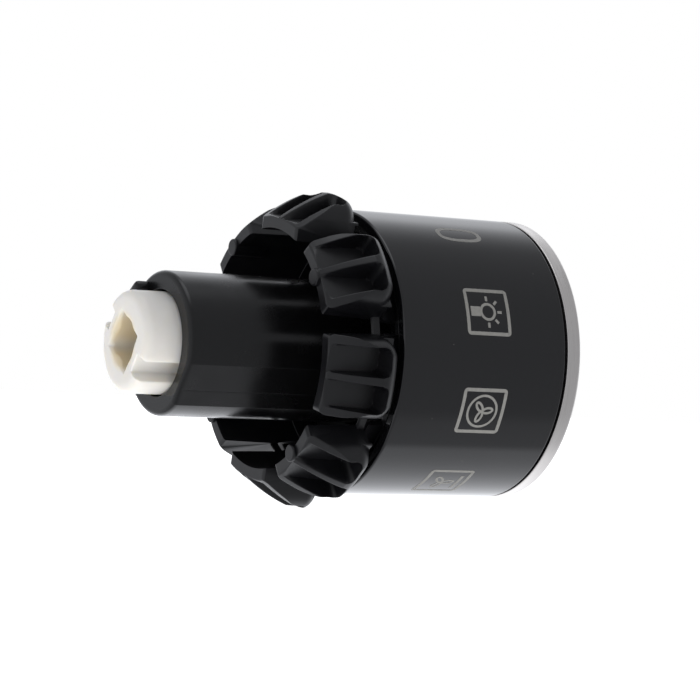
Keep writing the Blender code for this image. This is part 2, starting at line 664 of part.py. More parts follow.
def make_latch_leaf(finish, parent):
    """A bent strip, screwed to the lug, that holds the pin's tip down in the track."""
    low = PIN_ARM_HEIGHT + PIN_RADIUS + SEAT
    front, rear, tip = SCREW_Y - SCREW_HEAD_RADIUS, LUG_REAR_Y + RUNNING, PIN_TIP_Y - LEAF_TIP
    lower = [(front, LEAF_FLOOR), (rear, LEAF_FLOOR), (tip - LEAF_FOOT, low), (tip, low)]
    outline = lower + [(along, height + LEAF_THICKNESS) for along, height in reversed(lower)]
    side_frame = latch_frame() @ Matrix(((0, 0, 1, 0), (1, 0, 0, 0), (0, 1, 0, 0), (0, 0, 0, 1)))
    strip = prism("latch_leaf", outline, -LEAF_WIDTH / 2, LEAF_WIDTH / 2, side_frame)
    leaf = add_piece("latch_leaf", strip, finish, parent)
    hole = circle((0.0, SCREW_Y), SCREW_RADIUS + SEAT)
    through = prism("hole", hole, LUG_TOP, LEAF_FLOOR + 2 * LEAF_THICKNESS, latch_frame())
    boolean(leaf, cutter("leaf_hole", [through]))
    return leaf


def make_leaf_screw(finish, parent):
    """A small pan-head screw through the leaf."""
    head = LEAF_FLOOR + LEAF_THICKNESS + SEAT
    low = LUG_TOP - SCREW_LENGTH
    profile = [(0.0, low), (SCREW_RADIUS, low), (SCREW_RADIUS, head), (SCREW_HEAD_RADIUS, head)]
    profile += [(SCREW_HEAD_RADIUS, head + SCREW_HEAD / 2), (SCREW_HEAD_RADIUS / 2, head + SCREW_HEAD)]
    profile.append((0.0, head + SCREW_HEAD))
    mesh = turned("leaf_screw", profile, SMALL_FACETS)
    upright = Matrix(((1, 0, 0, 0), (0, 0, 1, 0), (0, 1, 0, 0), (0, 0, 0, 1)))
    mesh.transform(latch_frame(SCREW_Y) @ upright)
    mesh.flip_normals()
    return add_piece("leaf_screw", mesh, finish, parent)


def socket_mesh():
    """The square socket, whose walls face the keyways."""
    corner, first = SOCKET_ACROSS / sqrt(2.0), FLAT_ANGLE + pi / 4
    outline = arc((0.0, 0.0), corner, first, first + 1.5 * pi, 3)
    return prism("socket", outline, SOCKET_FLOOR_Y, INSERT_REAR + RUNNING, axial_frame())


def lead_mesh():
    """The cone that widens the socket's mouth, with its tip inside the socket."""
    slope = (LEAD_RADIUS - SOCKET_ACROSS / 2) / LEAD_DEPTH
    profile = [
        (0.0, INSERT_REAR - LEAD_RADIUS / slope),
        (LEAD_RADIUS + RUNNING * slope, INSERT_REAR + RUNNING),
        (0.0, INSERT_REAR + RUNNING),
    ]
    return turned("lead", profile)


def make_spindle_insert(finish, parent):
    """A plug with a square socket for the spindle, two keyways and a pocket for the clip."""
    edge_centre = (INSERT_RADIUS - INSERT_EDGE, INSERT_REAR - INSERT_EDGE)
    profile = [
        (0.0, INSERT_FRONT_Y),
        (INSERT_RADIUS, INSERT_FRONT_Y),
        *arc(edge_centre, INSERT_EDGE, 0.0, pi / 2, 5),
        (0.0, INSERT_REAR),
    ]
    insert = add_piece("spindle_insert", turned("spindle_insert", profile), finish, parent)
    boolean(insert, cutter("socket", [socket_mesh()]))
    boolean(insert, cutter("socket_lead", [lead_mesh()]))
    keyway = rectangle(KEYWAY_WIDTH / 2, INSERT_FRONT_Y - RUNNING, INSERT_REAR + RUNNING)
    keyways = [
        prism("keyway", keyway, KEYWAY_FLOOR, TUBE_RADIUS, outward_frame(FLAT_ANGLE + half_turn))
        for half_turn in (0.0, pi)
    ]
    boolean(insert, cutter("keyways", keyways))
    pocket = rectangle(CLIP_WIDTH / 2 + SEAT, CLIP_REAR_Y - CLIP_LENGTH - SEAT, CLIP_REAR_Y + SEAT)
    low, high = SOCKET_ACROSS / 4, SOCKET_ACROSS / 2 + CLIP_THICKNESS + 2 * SEAT
    clip_pocket = prism("pocket", pocket, low, high, outward_frame(CLIP_ANGLE))
    boolean(insert, cutter("clip_pocket", [clip_pocket]))
    return insert


def make_spindle_clip(finish, parent):
    """A flat spring in the socket's wall that grips the spindle."""
    low = SOCKET_ACROSS / 2 + SEAT
    plate = rectangle(CLIP_WIDTH / 2, CLIP_REAR_Y - CLIP_LENGTH, CLIP_REAR_Y)
    mesh = prism("spindle_clip", plate, low, low + CLIP_THICKNESS, outward_frame(CLIP_ANGLE))
    return add_piece("spindle_clip", mesh, finish, parent)


def build():
    for old in list(bpy.data.objects):
        bpy.data.objects.remove(old)

    gloss_black = material("gloss_black_abs", (0.008, 0.008, 0.009), 0.12)
    satin_black = material("satin_black_pom", (0.012, 0.012, 0.013), 0.42)
    black = material("black_pa", (0.010, 0.010, 0.011), 0.3)
    steel = material("brushed_stainless", (0.56, 0.54, 0.51), 0.32, 1.0)
    spring_steel = material("spring_steel", (0.45, 0.45, 0.46), 0.25, 1.0)
    acetal = material("natural_acetal", (0.82, 0.80, 0.75), 0.4)
    rubber = material("soft_rubber", (0.03, 0.03, 0.03), 0.8)
    adhesive = material("adhesive_film", (0.6, 0.58, 0.5), 0.6)

    knob = empty("knob_axis")
    hub = empty("hub_slide", parent=knob)
    pivot = empty("latch_pivot", latch_frame(PIN_PIVOT_Y) @ Vector((0.0, 0.0, LUG_FLOOR)), knob)
    make_snap_collar(satin_black)
    make_barrel(gloss_black, knob)
    make_face_cap(steel, knob)
    make_bond_disc(adhesive, knob)
    make_front_carrier(black, knob)
    make_buffer_ring(rubber, knob)
    make_guide_plate(black, knob)
    make_retaining_ring(black, knob)
    make_return_spring(spring_steel, knob)
    make_latch_leaf(spring_steel, knob)
    make_leaf_screw(spring_steel, knob)
    make_latch_pin(spring_steel, pivot)
    make_drive_tube(black, hub)
    make_spring_washer(spring_steel, hub)
    make_spindle_insert(acetal, hub)
    make_spindle_clip(spring_steel, hub)


build()
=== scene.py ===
# %% [markdown]
# # A pop-out selector knob for an oven front
# The part is a round knob that lies on its side: a glossy black barrel with a steel face, a ring of
# snap fingers that holds it in the oven's panel, a sprung drive tube, and a pale insert that takes
# the spindle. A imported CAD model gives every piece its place. This lesson puts finer meshes and
# real finishes on that frame, piece by piece.
# The frame is loaded first, because every later piece is measured against it and rides on it.

# %% Load the frame and keep its box
from math import asin, atan2, cos, pi, radians, sin, sqrt, tan, tau

import bmesh
import bpy
import numpy as np
from mathutils import Matrix, Vector


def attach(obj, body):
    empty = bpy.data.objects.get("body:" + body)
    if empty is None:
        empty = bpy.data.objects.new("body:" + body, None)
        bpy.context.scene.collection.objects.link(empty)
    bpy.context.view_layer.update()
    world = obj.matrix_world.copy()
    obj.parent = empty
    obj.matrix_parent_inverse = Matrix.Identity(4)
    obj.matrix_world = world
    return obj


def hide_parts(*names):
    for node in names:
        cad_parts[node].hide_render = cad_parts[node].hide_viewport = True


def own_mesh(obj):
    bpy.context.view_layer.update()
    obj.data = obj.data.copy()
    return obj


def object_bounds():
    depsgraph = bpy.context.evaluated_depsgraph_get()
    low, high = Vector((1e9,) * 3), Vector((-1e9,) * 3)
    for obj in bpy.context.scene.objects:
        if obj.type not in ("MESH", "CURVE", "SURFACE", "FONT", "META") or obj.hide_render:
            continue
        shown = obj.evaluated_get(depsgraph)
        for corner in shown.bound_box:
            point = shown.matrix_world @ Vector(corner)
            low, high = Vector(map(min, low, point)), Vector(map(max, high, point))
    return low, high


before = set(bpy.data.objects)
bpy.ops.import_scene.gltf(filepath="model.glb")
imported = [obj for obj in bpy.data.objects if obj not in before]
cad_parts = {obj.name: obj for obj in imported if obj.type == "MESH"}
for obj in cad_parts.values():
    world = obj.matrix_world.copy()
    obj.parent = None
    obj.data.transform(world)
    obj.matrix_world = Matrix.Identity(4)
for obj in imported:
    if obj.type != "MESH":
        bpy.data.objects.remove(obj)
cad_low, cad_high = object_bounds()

MM = 0.001  # sizes are written in millimetres, and those with * MM are in metres
scene = bpy.context.scene
print("CAD box in mm:", [round(side / MM, 2) for side in cad_high - cad_low])

# %% [markdown]
# ## The camera
# The photograph was taken level with the knob, from behind and to the left, with a long lens. The
# values come from fitting the knob's circles to the picture: the fit gives the direction, a small
# roll, the distance and the focal length. The fit was made about the barrel's rear rim.
# A camera matrix is the plainest way to say this: its columns are right, up and back.

# %% Place the camera
SENSOR = 36.0
FOCAL_SHARE = 2700 / 700  # focal length over the picture's width, both in pixels
CAMERA_AZIMUTH = radians(239.807)
CAMERA_ROLL = radians(2.799)
CAMERA_DISTANCE = 379.08 * MM
CAMERA_RIGHT = 2.773 * MM
CAMERA_UP = 0.167 * MM
CLIP_START = 10 * MM
BARREL_REAR = -1.5


def link_object(name, data):
    """Makes an object of a mesh or a camera and puts it in the scene."""
    made = bpy.data.objects.new(name, data)
    scene.collection.objects.link(made)
    return made


level = Vector((cos(CAMERA_AZIMUTH), sin(CAMERA_AZIMUTH), 0.0))
back = Vector((sin(CAMERA_AZIMUTH), -cos(CAMERA_AZIMUTH), 0.0))
upright = Vector((0.0, 0.0, 1.0))
right = level * cos(CAMERA_ROLL) + upright * sin(CAMERA_ROLL)
above = upright * cos(CAMERA_ROLL) - level * sin(CAMERA_ROLL)
camera_data = bpy.data.cameras.new("camera")
camera_data.sensor_width = SENSOR
camera_data.lens = SENSOR * FOCAL_SHARE
camera_data.clip_start = CLIP_START
camera = link_object("camera", camera_data)
eye = right * CAMERA_RIGHT + above * CAMERA_UP + back * CAMERA_DISTANCE
eye += Vector((0.0, BARREL_REAR * MM, 0.0))
camera.matrix_world = Matrix.Translation(eye) @ Matrix((right, above, back)).transposed().to_4x4()
scene.camera = camera
print("lens in mm:", round(camera_data.lens, 1), "camera at", [round(c / MM, 1) for c in eye])

# %% [markdown]
# ## Tools for materials
# A colour is written as the sRGB hex value that the eye sees, and one function turns it to the
# linear values that the shader needs. One more function adds any node with its settings and links,
# for materials and for Geometry Nodes alike. Patterns read Object coordinates in metres, so a noise
# with grains of a given size gets a scale of one over that size.

# %% Colour and node helpers
def linear(code):
    """An sRGB hex colour as linear values."""
    shares = [int(code[k : k + 2], 16) / 255 for k in (1, 3, 5)]
    return (*[s / 12.92 if s <= 0.04045 else ((s + 0.055) / 1.055) ** 2.4 for s in shares], 1.0)


def add_node(tree, kind, inputs=None, **settings):
    """Adds a node. Inputs are values or the sockets of other nodes, by the input's name or number."""
    node = tree.nodes.new(kind)
    for key, value in settings.items():
        setattr(node, key, value)
    for key, value in (inputs or {}).items():
        if isinstance(value, bpy.types.NodeSocket):
            tree.links.new(value, node.inputs[key])
        else:
            node.inputs[key].default_value = value
    return node


print("middle grey in linear light:", round(linear("#808080")[0], 3))

# %% [markdown]
# On a real skin, wear and moulding change colour, gloss and relief together. So a finish here is a
# shader with constant values, and a pattern that may drive these three.

# %% Start a finish and let a pattern vary it
def new_finish(name, **sockets):
    """A material with a Principled shader whose sockets hold constant values."""
    made = bpy.data.materials.new(name)
    made.use_nodes = True
    shader = made.node_tree.nodes["Principled BSDF"]
    for socket, value in sockets.items():
        shader.inputs[socket.replace("_", " ")].default_value = value
    return made, made.node_tree, shader


def grain(size):
    """The noise scale that gives grains of a real size."""
    return 1 / size


def vary(tree, shader, pattern, colours=None, roughness=None, relief=None, span=(0.3, 0.7)):
    """Lets a pattern drive the colour, the roughness over a span of the pattern, and the relief."""
    if colours:
        dark, light = colours
        tint = {0: pattern, 6: linear(dark), 7: linear(light)}
        tint = add_node(tree, "ShaderNodeMix", tint, data_type="RGBA")
        tree.links.new(tint.outputs[2], shader.inputs["Base Color"])
    if roughness:
        low, high = roughness
        rough = {"Value": pattern, "From Min": span[0], "From Max": span[1], "To Min": low, "To Max": high}
        rough = add_node(tree, "ShaderNodeMapRange", rough)
        tree.links.new(rough.outputs["Result"], shader.inputs["Roughness"])
    if relief:
        strength, height = relief
        bump = {"Strength": strength, "Distance": height, "Height": pattern}
        bump = add_node(tree, "ShaderNodeBump", bump)
        tree.links.new(bump.outputs["Normal"], shader.inputs["Normal"])


print("noise scale for grains of 1 mm:", grain(1.0 * MM))

# %% [markdown]
# ## Gloss black ABS
# The barrel is moulded in ABS in a polished tool. The eye sees a deep black, a clear reflection,
# faint smears where hands have been, and a few specks of dust. The smears vary the roughness over
# some millimetres. The dust comes from the cell centres of a Voronoi pattern: only the small core
# of some cells is drawn. A very low bump gives the slight waviness that a thick moulding has.

# %% Make the gloss black
DUST_SPACING = 2.6 * MM
DUST_CORE = 0.035  # the core's share of a cell
SMEAR_SIZE = 6.0 * MM
WAVE_SIZE = 9.0 * MM
WAVE_HEIGHT = 0.4 * MM

gloss_black, tree, shader = new_finish("gloss_black_abs", IOR=1.52)
place = add_node(tree, "ShaderNodeTexCoord").outputs["Object"]
smear = {"Vector": place, "Scale": grain(SMEAR_SIZE), "Detail": 5.0}
smear = add_node(tree, "ShaderNodeTexNoise", smear)
vary(tree, shader, smear.outputs["Fac"], roughness=(0.04, 0.09), span=(0.35, 0.7))
dust = {"Vector": place, "Scale": grain(DUST_SPACING), "Randomness": 1.0}
dust = add_node(tree, "ShaderNodeTexVoronoi", dust)
core = {"Value": dust.outputs["Distance"], "From Min": DUST_CORE, "From Max": DUST_CORE / 2}
core = add_node(tree, "ShaderNodeMapRange", core)
vary(tree, shader, core.outputs["Result"], ("#09090b", "#4b4a48"))
wave = {"Vector": place, "Scale": grain(WAVE_SIZE), "Detail": 1.0}
wave = add_node(tree, "ShaderNodeTexNoise", wave)
vary(tree, shader, wave.outputs["Fac"], relief=(0.02, WAVE_HEIGHT))
print("material:", gloss_black.name)

# %% [markdown]
# ## Tools for meshes
# Nearly every piece of a knob is turned or swept, so its surface is a grid: rows along a profile
# and columns round the axis. One function makes the faces of a grid, and one makes a clean mesh of
# points and faces. Angles round the axis count from -X towards +Z, as on the CAD model.
# A sharp corner never looks real, because every moulded edge has a small radius that catches the
# light. So one more function rounds the corners of a profile and puts support points beside each
# rounding, which keep the flat parts flat when the mesh is shaded smooth.

# %% Make a mesh from a grid
WELD = 0.0002 * MM  # points nearer than this are one
SHARP = radians(34)  # steeper edges stay sharp


def grid_faces(rows, columns, loop_rows=True, loop_columns=True):
    """Quads between the points of a grid that is numbered row by row."""
    i, j = np.meshgrid(np.arange(rows), np.arange(columns), indexing="ij")
    if not loop_rows:
        i, j = i[:-1], j[:-1]
    if not loop_columns:
        i, j = i[:, :-1], j[:, :-1]
    below, beside = (i + 1) % rows, (j + 1) % columns
    corners = [i * columns + j, i * columns + beside, below * columns + beside, below * columns + j]
    return np.stack(corners, -1).reshape(-1, 4).tolist()


def smooth(mesh):
    """Shades a mesh smooth, apart from its sharp edges."""
    mesh.shade_smooth()
    mesh.set_sharp_from_angle(angle=SHARP)
    return mesh


def clean_mesh(name, points, faces):
    """A mesh with doubles merged, normals pointing out, and smooth shading between sharp edges."""
    mesh = bpy.data.meshes.new(name)
    mesh.from_pydata(np.asarray(points).reshape(-1, 3).tolist(), [], faces)
    shape = bmesh.new()
    shape.from_mesh(mesh)
    bmesh.ops.remove_doubles(shape, verts=shape.verts, dist=WELD)
    loose = [edge for edge in shape.edges if not edge.link_faces]
    bmesh.ops.delete(shape, geom=loose, context="EDGES")
    bmesh.ops.recalc_face_normals(shape, faces=shape.faces)
    shape.to_mesh(mesh)
    shape.free()
    return smooth(mesh)


print("faces of a ring of 4 by 6 points:", len(grid_faces(4, 6)))

# %% Round a profile and turn it
SUPPORT = 0.06 * MM  # how far a support point lies from its rounding


def in_mm(corners):
    """Corners that are written in millimetres, as metres."""
    return [tuple(value * MM for value in corner) for corner in corners]


def rounded(corners, steps=5, closed=True):
    """A path in a plane whose corners, given as (a, b, radius), are rounded with arcs."""
    path = []
    count = len(corners)
    for k, (a, b, radius) in enumerate(corners):
        if not radius:
            path.append((a, b))
            continue
        here = Vector((a, b))
        before, after = (Vector(corners[(k + step) % count][:2]) - here for step in (-1, 1))
        half = before.angle(after) / 2
        reach = radius / tan(half)
        centre = here + (before.normalized() + after.normalized()).normalized() * radius / sin(half)
        start = here + before.normalized() * reach - centre
        turn = start.angle_signed(here + after.normalized() * reach - centre)
        if before.length > reach + 2 * SUPPORT:
            path.append(tuple(here + before.normalized() * (reach + SUPPORT)))
        for step in range(steps + 1):
            path.append(tuple(centre + Matrix.Rotation(-turn * step / steps, 2) @ start))
        if after.length > reach + 2 * SUPPORT:
            path.append(tuple(here + after.normalized() * (reach + SUPPORT)))
    return path


def round_axis(radii, y, angles):
    """Points at radii and places along the axis, for each of the angles."""
    radii, y, angles = np.broadcast_arrays(radii, y, angles)
    return np.stack([-radii * np.cos(angles), y, radii * np.sin(angles)], -1)


def turned(name, corners, columns=192, steps=5):
    """A solid of revolution about Y from (radius, y, rounding) corners."""
    profile = np.array(rounded(corners, steps))
    angles = np.arange(columns) * tau / columns
    points = round_axis(profile[:, :1], profile[:, 1:], angles)
    return clean_mesh(name, points, grid_faces(len(profile), columns))


sample = in_mm([(0.0, 0.0, 0.2), (1.0, 0.0, 0.2), (1.0, 1.0, 0.2), (0.0, 1.0, 0.2)])
print("points of a rounded square:", len(rounded(sample)))

# %% [markdown]
# ## The barrel
# The barrel is an open tube that the hand grips. Its two ends have small radii, and a ledge inside
# carries the guide plate. It could be a cylinder with a bevel, but a profile that is turned round
# the axis gives each edge its own radius and keeps the rows clean.

# %% Turn the barrel and seat it
BARREL_RADIUS = 20.0
BARREL_BORE = 18.5
BARREL_FRONT = -27.8
LEDGE_BORE = 17.6
LEDGE_REAR = -8.75
LEDGE_FRONT = -9.65
BARREL_COLUMNS = 256


def seat(name, mesh, finish, body, slot, *nodes):
    """Makes a mesh a piece that rides on a body and stands for its CAD nodes."""
    mesh.name = name
    mesh.materials.clear()
    mesh.materials.append(finish)
    piece = link_object(name, mesh)
    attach(piece, body)
    if nodes:
        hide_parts(*nodes)
    print(name, "triangles:", sum(len(face.vertices) - 2 for face in mesh.polygons))
    return piece


barrel_profile = in_mm([
    (BARREL_RADIUS, BARREL_FRONT, 0.3), (BARREL_RADIUS, BARREL_REAR, 0.35),
    (BARREL_BORE, BARREL_REAR, 0.15), (BARREL_BORE, LEDGE_REAR, 0.0),
    (LEDGE_BORE, LEDGE_REAR, 0.1), (LEDGE_BORE, LEDGE_FRONT, 0.1),
    (BARREL_BORE, LEDGE_FRONT - BARREL_BORE + LEDGE_BORE, 0.0), (BARREL_BORE, BARREL_FRONT, 0.1),
])
barrel_mesh = turned("barrel", barrel_profile, BARREL_COLUMNS)
seat("gloss_barrel", barrel_mesh, gloss_black, "knob", "gloss_black", "barrel")

# %% [markdown]
# ## Brushed stainless steel
# The face is a pressed cup of stainless sheet. Its front was brushed in straight lines before
# pressing, and its rim was turned against a belt, so the rim's lines run round the axis. The eye
# sees a warm grey whose brightness streaks along the lines. Real brushing is 0.02 to 0.1 mm wide;
# it is drawn 0.12 mm wide, because finer lines would vanish in the picture.
# The pattern is one noise, stretched along the lines. On the rim it reads the distance along the
# axis, and on the face the distance across the lines; the radius says which is which.

# %% Make the brushed steel
BRUSH_WIDTH = 0.12 * MM
BRUSH_LENGTH = 9.0 * MM
BRUSH_DEPTH = 0.02 * MM
RIM_START = 19.75 * MM

steel, tree, shader = new_finish("brushed_stainless_steel", Metallic=1.0, Anisotropic=0.4)
place = add_node(tree, "ShaderNodeTexCoord").outputs["Object"]
axes = add_node(tree, "ShaderNodeSeparateXYZ", {0: place}).outputs
flat_place = add_node(tree, "ShaderNodeCombineXYZ", {0: axes["X"], 1: axes["Z"]})
radius = add_node(tree, "ShaderNodeVectorMath", {0: flat_place.outputs[0]}, operation="LENGTH")
on_rim = {0: radius.outputs["Value"], 1: RIM_START}
on_rim = add_node(tree, "ShaderNodeMath", on_rim, operation="GREATER_THAN")
turn = add_node(tree, "ShaderNodeMath", {0: axes["Z"], 1: axes["X"]}, operation="ARCTAN2")
around = {0: turn.outputs[0], 1: BARREL_RADIUS * MM}
around = add_node(tree, "ShaderNodeMath", around, operation="MULTIPLY")
rim_place = add_node(tree, "ShaderNodeCombineXYZ", {0: around.outputs[0], 1: axes["Y"]})
lines = {0: on_rim.outputs[0], 4: flat_place.outputs[0], 5: rim_place.outputs[0]}
lines = add_node(tree, "ShaderNodeMix", lines, data_type="VECTOR")
stretch = {"Vector": lines.outputs[1], "Scale": (BRUSH_WIDTH / BRUSH_LENGTH, 1.0, 1.0)}
stretch = add_node(tree, "ShaderNodeMapping", stretch)
brush = {"Vector": stretch.outputs[0], "Scale": grain(BRUSH_WIDTH), "Detail": 3.0, "Roughness": 0.65}
brush = add_node(tree, "ShaderNodeTexNoise", brush)
vary(tree, shader, brush.outputs["Fac"], ("#c4c0bd", "#dfdcd9"), (0.24, 0.4), (0.12, BRUSH_DEPTH))
print("material:", steel.name)

# %% [markdown]
# ## The steel face
# A shallow cup with a rolled edge covers the front. A gap of a third of a millimetre to the barrel
# shows as the dark line between black and steel. It is turned like the barrel.

# %% Turn the steel face
CAP_FRONT = -30.4
CAP_REAR = -28.15
CAP_SHEET = 0.6

cap_inside, cap_floor = BARREL_RADIUS - CAP_SHEET, CAP_FRONT + CAP_SHEET
cap_profile = in_mm([
    (0.0, cap_floor, 0.0), (cap_inside, cap_floor, 0.2), (cap_inside, CAP_REAR, 0.0),
    (BARREL_RADIUS, CAP_REAR, 0.12), (BARREL_RADIUS, CAP_FRONT, 0.45), (0.0, CAP_FRONT, 0.0),
])
cap_mesh = turned("cap", cap_profile, BARREL_COLUMNS, 7)
seat("steel_face", cap_mesh, steel, "knob", "brushed_stainless", "face_cap")

# %% [markdown]
# ## Printed symbols
# Nine symbols stand round the barrel, 40 degrees apart, for the oven's settings: off, light, fan and
# several heats. They are pad-printed in a grey ink, so each line has an even width and lies on the
# surface as a very thin film. An image would be the usual way, but ribbons of real mesh stay sharp
# from any distance and need no picture.
# Each symbol is drawn flat in millimetres, u round the barrel and v along it, and then wrapped. Its
# top is towards the rear, because the knob is read from above when it stands out of the panel.

# %% Draw the strokes of the symbols
THIN = 0.34
HEAT_HALF = 1.9


def ring(radius_u, radius_v, centre=(0.0, 0.0), power=2.0, count=48):
    """A closed curve, from an ellipse at power 2 towards a rounded box at higher powers."""
    turns = np.arange(count) * tau / count
    shares = np.stack([np.cos(turns), np.sin(turns)], -1)
    bent = np.sign(shares) * np.abs(shares) ** (2 / power)
    return np.array(centre) + np.array([radius_u, radius_v]) * bent


def frame_box(half_u=3.1, half_v=3.3, corner=0.32):
    """The box round a symbol, with rounded corners."""
    sides = [(half_u, half_v), (-half_u, half_v), (-half_u, -half_v), (half_u, -half_v)]
    return np.array(rounded([(u, v, corner) for u, v in sides], 3))


def bar(start, end):
    """A straight line."""
    return np.array([start, end], float)


def fan(centre, size):
    """Three outlined oval blades round a centre, each as long as the size."""
    strokes = []
    for blade in range(3):
        turn = radians(40 + 120 * blade)
        out = np.array([cos(turn), sin(turn)])
        side = np.array([-sin(turn), cos(turn)])
        oval = ring(0.5 * size, 0.24 * size, count=24)
        points = np.array(centre) + np.outer(oval[:, 0] + 0.55 * size, out) + np.outer(oval[:, 1], side)
        strokes.append((points, THIN, True))
    return strokes


def zigzag(v, height=0.75):
    """The grill's line, which goes up and down across the symbol."""
    u = np.linspace(-HEAT_HALF, HEAT_HALF, 7)
    return np.stack([u, v + height * np.where(np.arange(7) % 2, -0.5, 0.5)], -1)


print("strokes of a fan:", len(fan((0.0, 0.0), 1.0)))

# %% [markdown]
# A stroke is a line, its width, and whether it is closed. Each symbol is a list of strokes. Most have
# the same box round them, and the heats share their bars and the grill's zigzag.

# %% Compose the nine symbols
LINE = 0.5
LAMP_LINE = 0.38
HEAT_LINE = 0.4
HEAT_ROW = 2.2

box_stroke = (frame_box(), LINE, True)
top_bar, low_bar = [
    (bar((-HEAT_HALF, row), (HEAT_HALF, row)), LINE, False) for row in (HEAT_ROW, -HEAT_ROW)
]
rays = [
    (bar((1.55 * sin(a), -1.55 * cos(a)), (2.25 * sin(a), -2.25 * cos(a))), LAMP_LINE, False)
    for a in np.radians([-90.0, -45.0, 0.0, 45.0, 90.0])
]
lamp = [(ring(1.1, 1.1), LAMP_LINE, True), (bar((0.0, 1.2), (0.0, 2.75)), 1.4, False), *rays]
grill = (zigzag(2.0), HEAT_LINE, False)
symbols = [
    [(ring(1.5, 3.25, power=2.8), 0.64, True)],
    [box_stroke, *lamp],
    [box_stroke, (ring(2.3, 2.3), THIN, True), *fan((0.0, 0.0), 1.55)],
    [box_stroke, *fan((0.0, 0.4), 1.75), low_bar],
    [box_stroke, top_bar, low_bar],
    [box_stroke, low_bar],
    [box_stroke, grill],
    [box_stroke, grill, *fan((0.0, -0.8), 1.6)],
    [box_stroke, top_bar, *fan((0.0, -0.4), 1.75)],
]
print("symbols:", len(symbols), "strokes:", sum(map(len, symbols)))

# %% [markdown]
# A stroke becomes a closed ribbon. Its line is first cut into short steps, so that it can bend round
# the barrel, and its two edges are offset along the mitre at each point, which keeps the width even
# round corners. Each ribbon is a ring of four rows: two on the barrel's skin and two on the ink.

# %% Wrap the symbols on the barrel
SYMBOL_FIRST = radians(58.8)
SYMBOL_PITCH = radians(40.0)
SYMBOL_ROW = -15.2 * MM
INK_PROUD = 0.02 * MM
INK_STEP = 0.35


def stroke_edges(line, width, closed):
    """The left and right edge of a flat line, cut into short steps."""
    ends = np.roll(line, -1, 0) if closed else line[1:]
    fine = []
    for start, end in zip(line, ends):
        cuts = max(1, int(np.ceil(np.hypot(*(end - start)) / INK_STEP)))
        fine += [start + (end - start) * cut / cuts for cut in range(cuts)]
    fine = np.array(fine if closed else fine + [line[-1]])
    steps = np.roll(fine, -1, 0) - fine
    if not closed:
        steps[-1] = steps[-2]
    normals = np.stack([-steps[:, 1], steps[:, 0]], -1) / np.hypot(steps[:, 0], steps[:, 1])[:, None]
    before = np.roll(normals, 1, 0)
    if not closed:
        before[0] = normals[0]
    mitre = (normals + before) / (1 + (normals * before).sum(1))[:, None]
    return fine + mitre * width / 2, fine - mitre * width / 2


def wrap(flat, angle, height):
    """Flat symbol points in millimetres, laid round the barrel at a height over its surface."""
    turn = angle + flat[:, 0] / BARREL_RADIUS
    return round_axis(BARREL_RADIUS * MM + height, SYMBOL_ROW + flat[:, 1] * MM, turn)


ink_points, ink_faces, ink_count = [], [], 0
for number, strokes in enumerate(symbols):
    angle = SYMBOL_FIRST - SYMBOL_PITCH * number
    for line, width, closed in strokes:
        left, right_edge = stroke_edges(line, width, closed)
        rows = [(left, -INK_PROUD), (left, INK_PROUD), (right_edge, INK_PROUD), (right_edge, -INK_PROUD)]
        rows = np.stack([wrap(flat, angle, height) for flat, height in rows])
        columns = rows.shape[1]
        faces = grid_faces(4, columns, True, closed)
        if not closed:
            faces += [[k * columns for k in range(4)], [k * columns + columns - 1 for k in range(4)]]
        ink_faces += [[corner + ink_count for corner in face] for face in faces]
        ink_points.append(rows.reshape(-1, 3))
        ink_count += 4 * columns
ink_mesh = clean_mesh("ink", np.concatenate(ink_points), ink_faces)
print("ink points:", ink_count)

# %% [markdown]
# ## Pad-printing ink
# The ink is a matt grey two-part ink, a little warm. The eye sees an even, dry film with tiny thin
# spots from the pad, so its colour wavers a little over some tenths of a millimetre.

# %% Make the ink and print the symbols
INK_SPOT = 0.35 * MM

ink, tree, shader = new_finish("pad_print_ink", Roughness=0.55, IOR=1.5)
place = add_node(tree, "ShaderNodeTexCoord").outputs["Object"]
spots = {"Vector": place, "Scale": grain(INK_SPOT), "Detail": 2.0}
spots = add_node(tree, "ShaderNodeTexNoise", spots)
vary(tree, shader, spots.outputs["Fac"], ("#72716d", "#8c8a85"))
seat("printed_symbols", ink_mesh, ink, "knob", None)

# %% [markdown]
# ## Satin black acetal
# The collar is moulded in black acetal, because snap fingers have to bend often. The tool was spark
# eroded, so the skin is a fine satin: the eye sees broad soft highlights, a little brighter along
# the edges. The grain is about 0.05 mm in life and is drawn at 0.14 mm to show at all.

# %% Make the satin black
SPARK_GRAIN = 0.14 * MM
SPARK_DEPTH = 0.03 * MM
FLOW_SIZE = 4.0 * MM

satin_black, tree, shader = new_finish("satin_black_acetal", IOR=1.48)
place = add_node(tree, "ShaderNodeTexCoord").outputs["Object"]
spark = {"Vector": place, "Scale": grain(SPARK_GRAIN), "Detail": 2.0}
spark = add_node(tree, "ShaderNodeTexNoise", spark)
vary(tree, shader, spark.outputs["Fac"], relief=(0.1, SPARK_DEPTH))
flow = {"Vector": place, "Scale": grain(FLOW_SIZE), "Detail": 3.0}
flow = add_node(tree, "ShaderNodeTexNoise", flow)
vary(tree, shader, flow.outputs["Fac"], ("#08080a", "#0d0d10"), (0.3, 0.42))
print("material:", satin_black.name)

# %% [markdown]
# ## One snap finger
# Each finger has a ramp that the panel's hole pushes down, a crest that snaps out behind the panel,
# and a root on the collar's skirt. Its top is well rounded to both sides and to the front, and the
# ramp cuts across that rounding, so the ramp narrows towards the crest between two crisp arcs.
# Two flutes lighten the finger and leave three ribs. They run out at the rear and end under the crest
# in a rounded U.
# A Boolean would cut the flutes but leave hard edges. Here the finger is a grid instead: rows follow
# its section, columns cross it, and each point gets a height over the knob's axis. The lower of ramp
# and rounding wins, and the flutes are a depth that is taken from that.

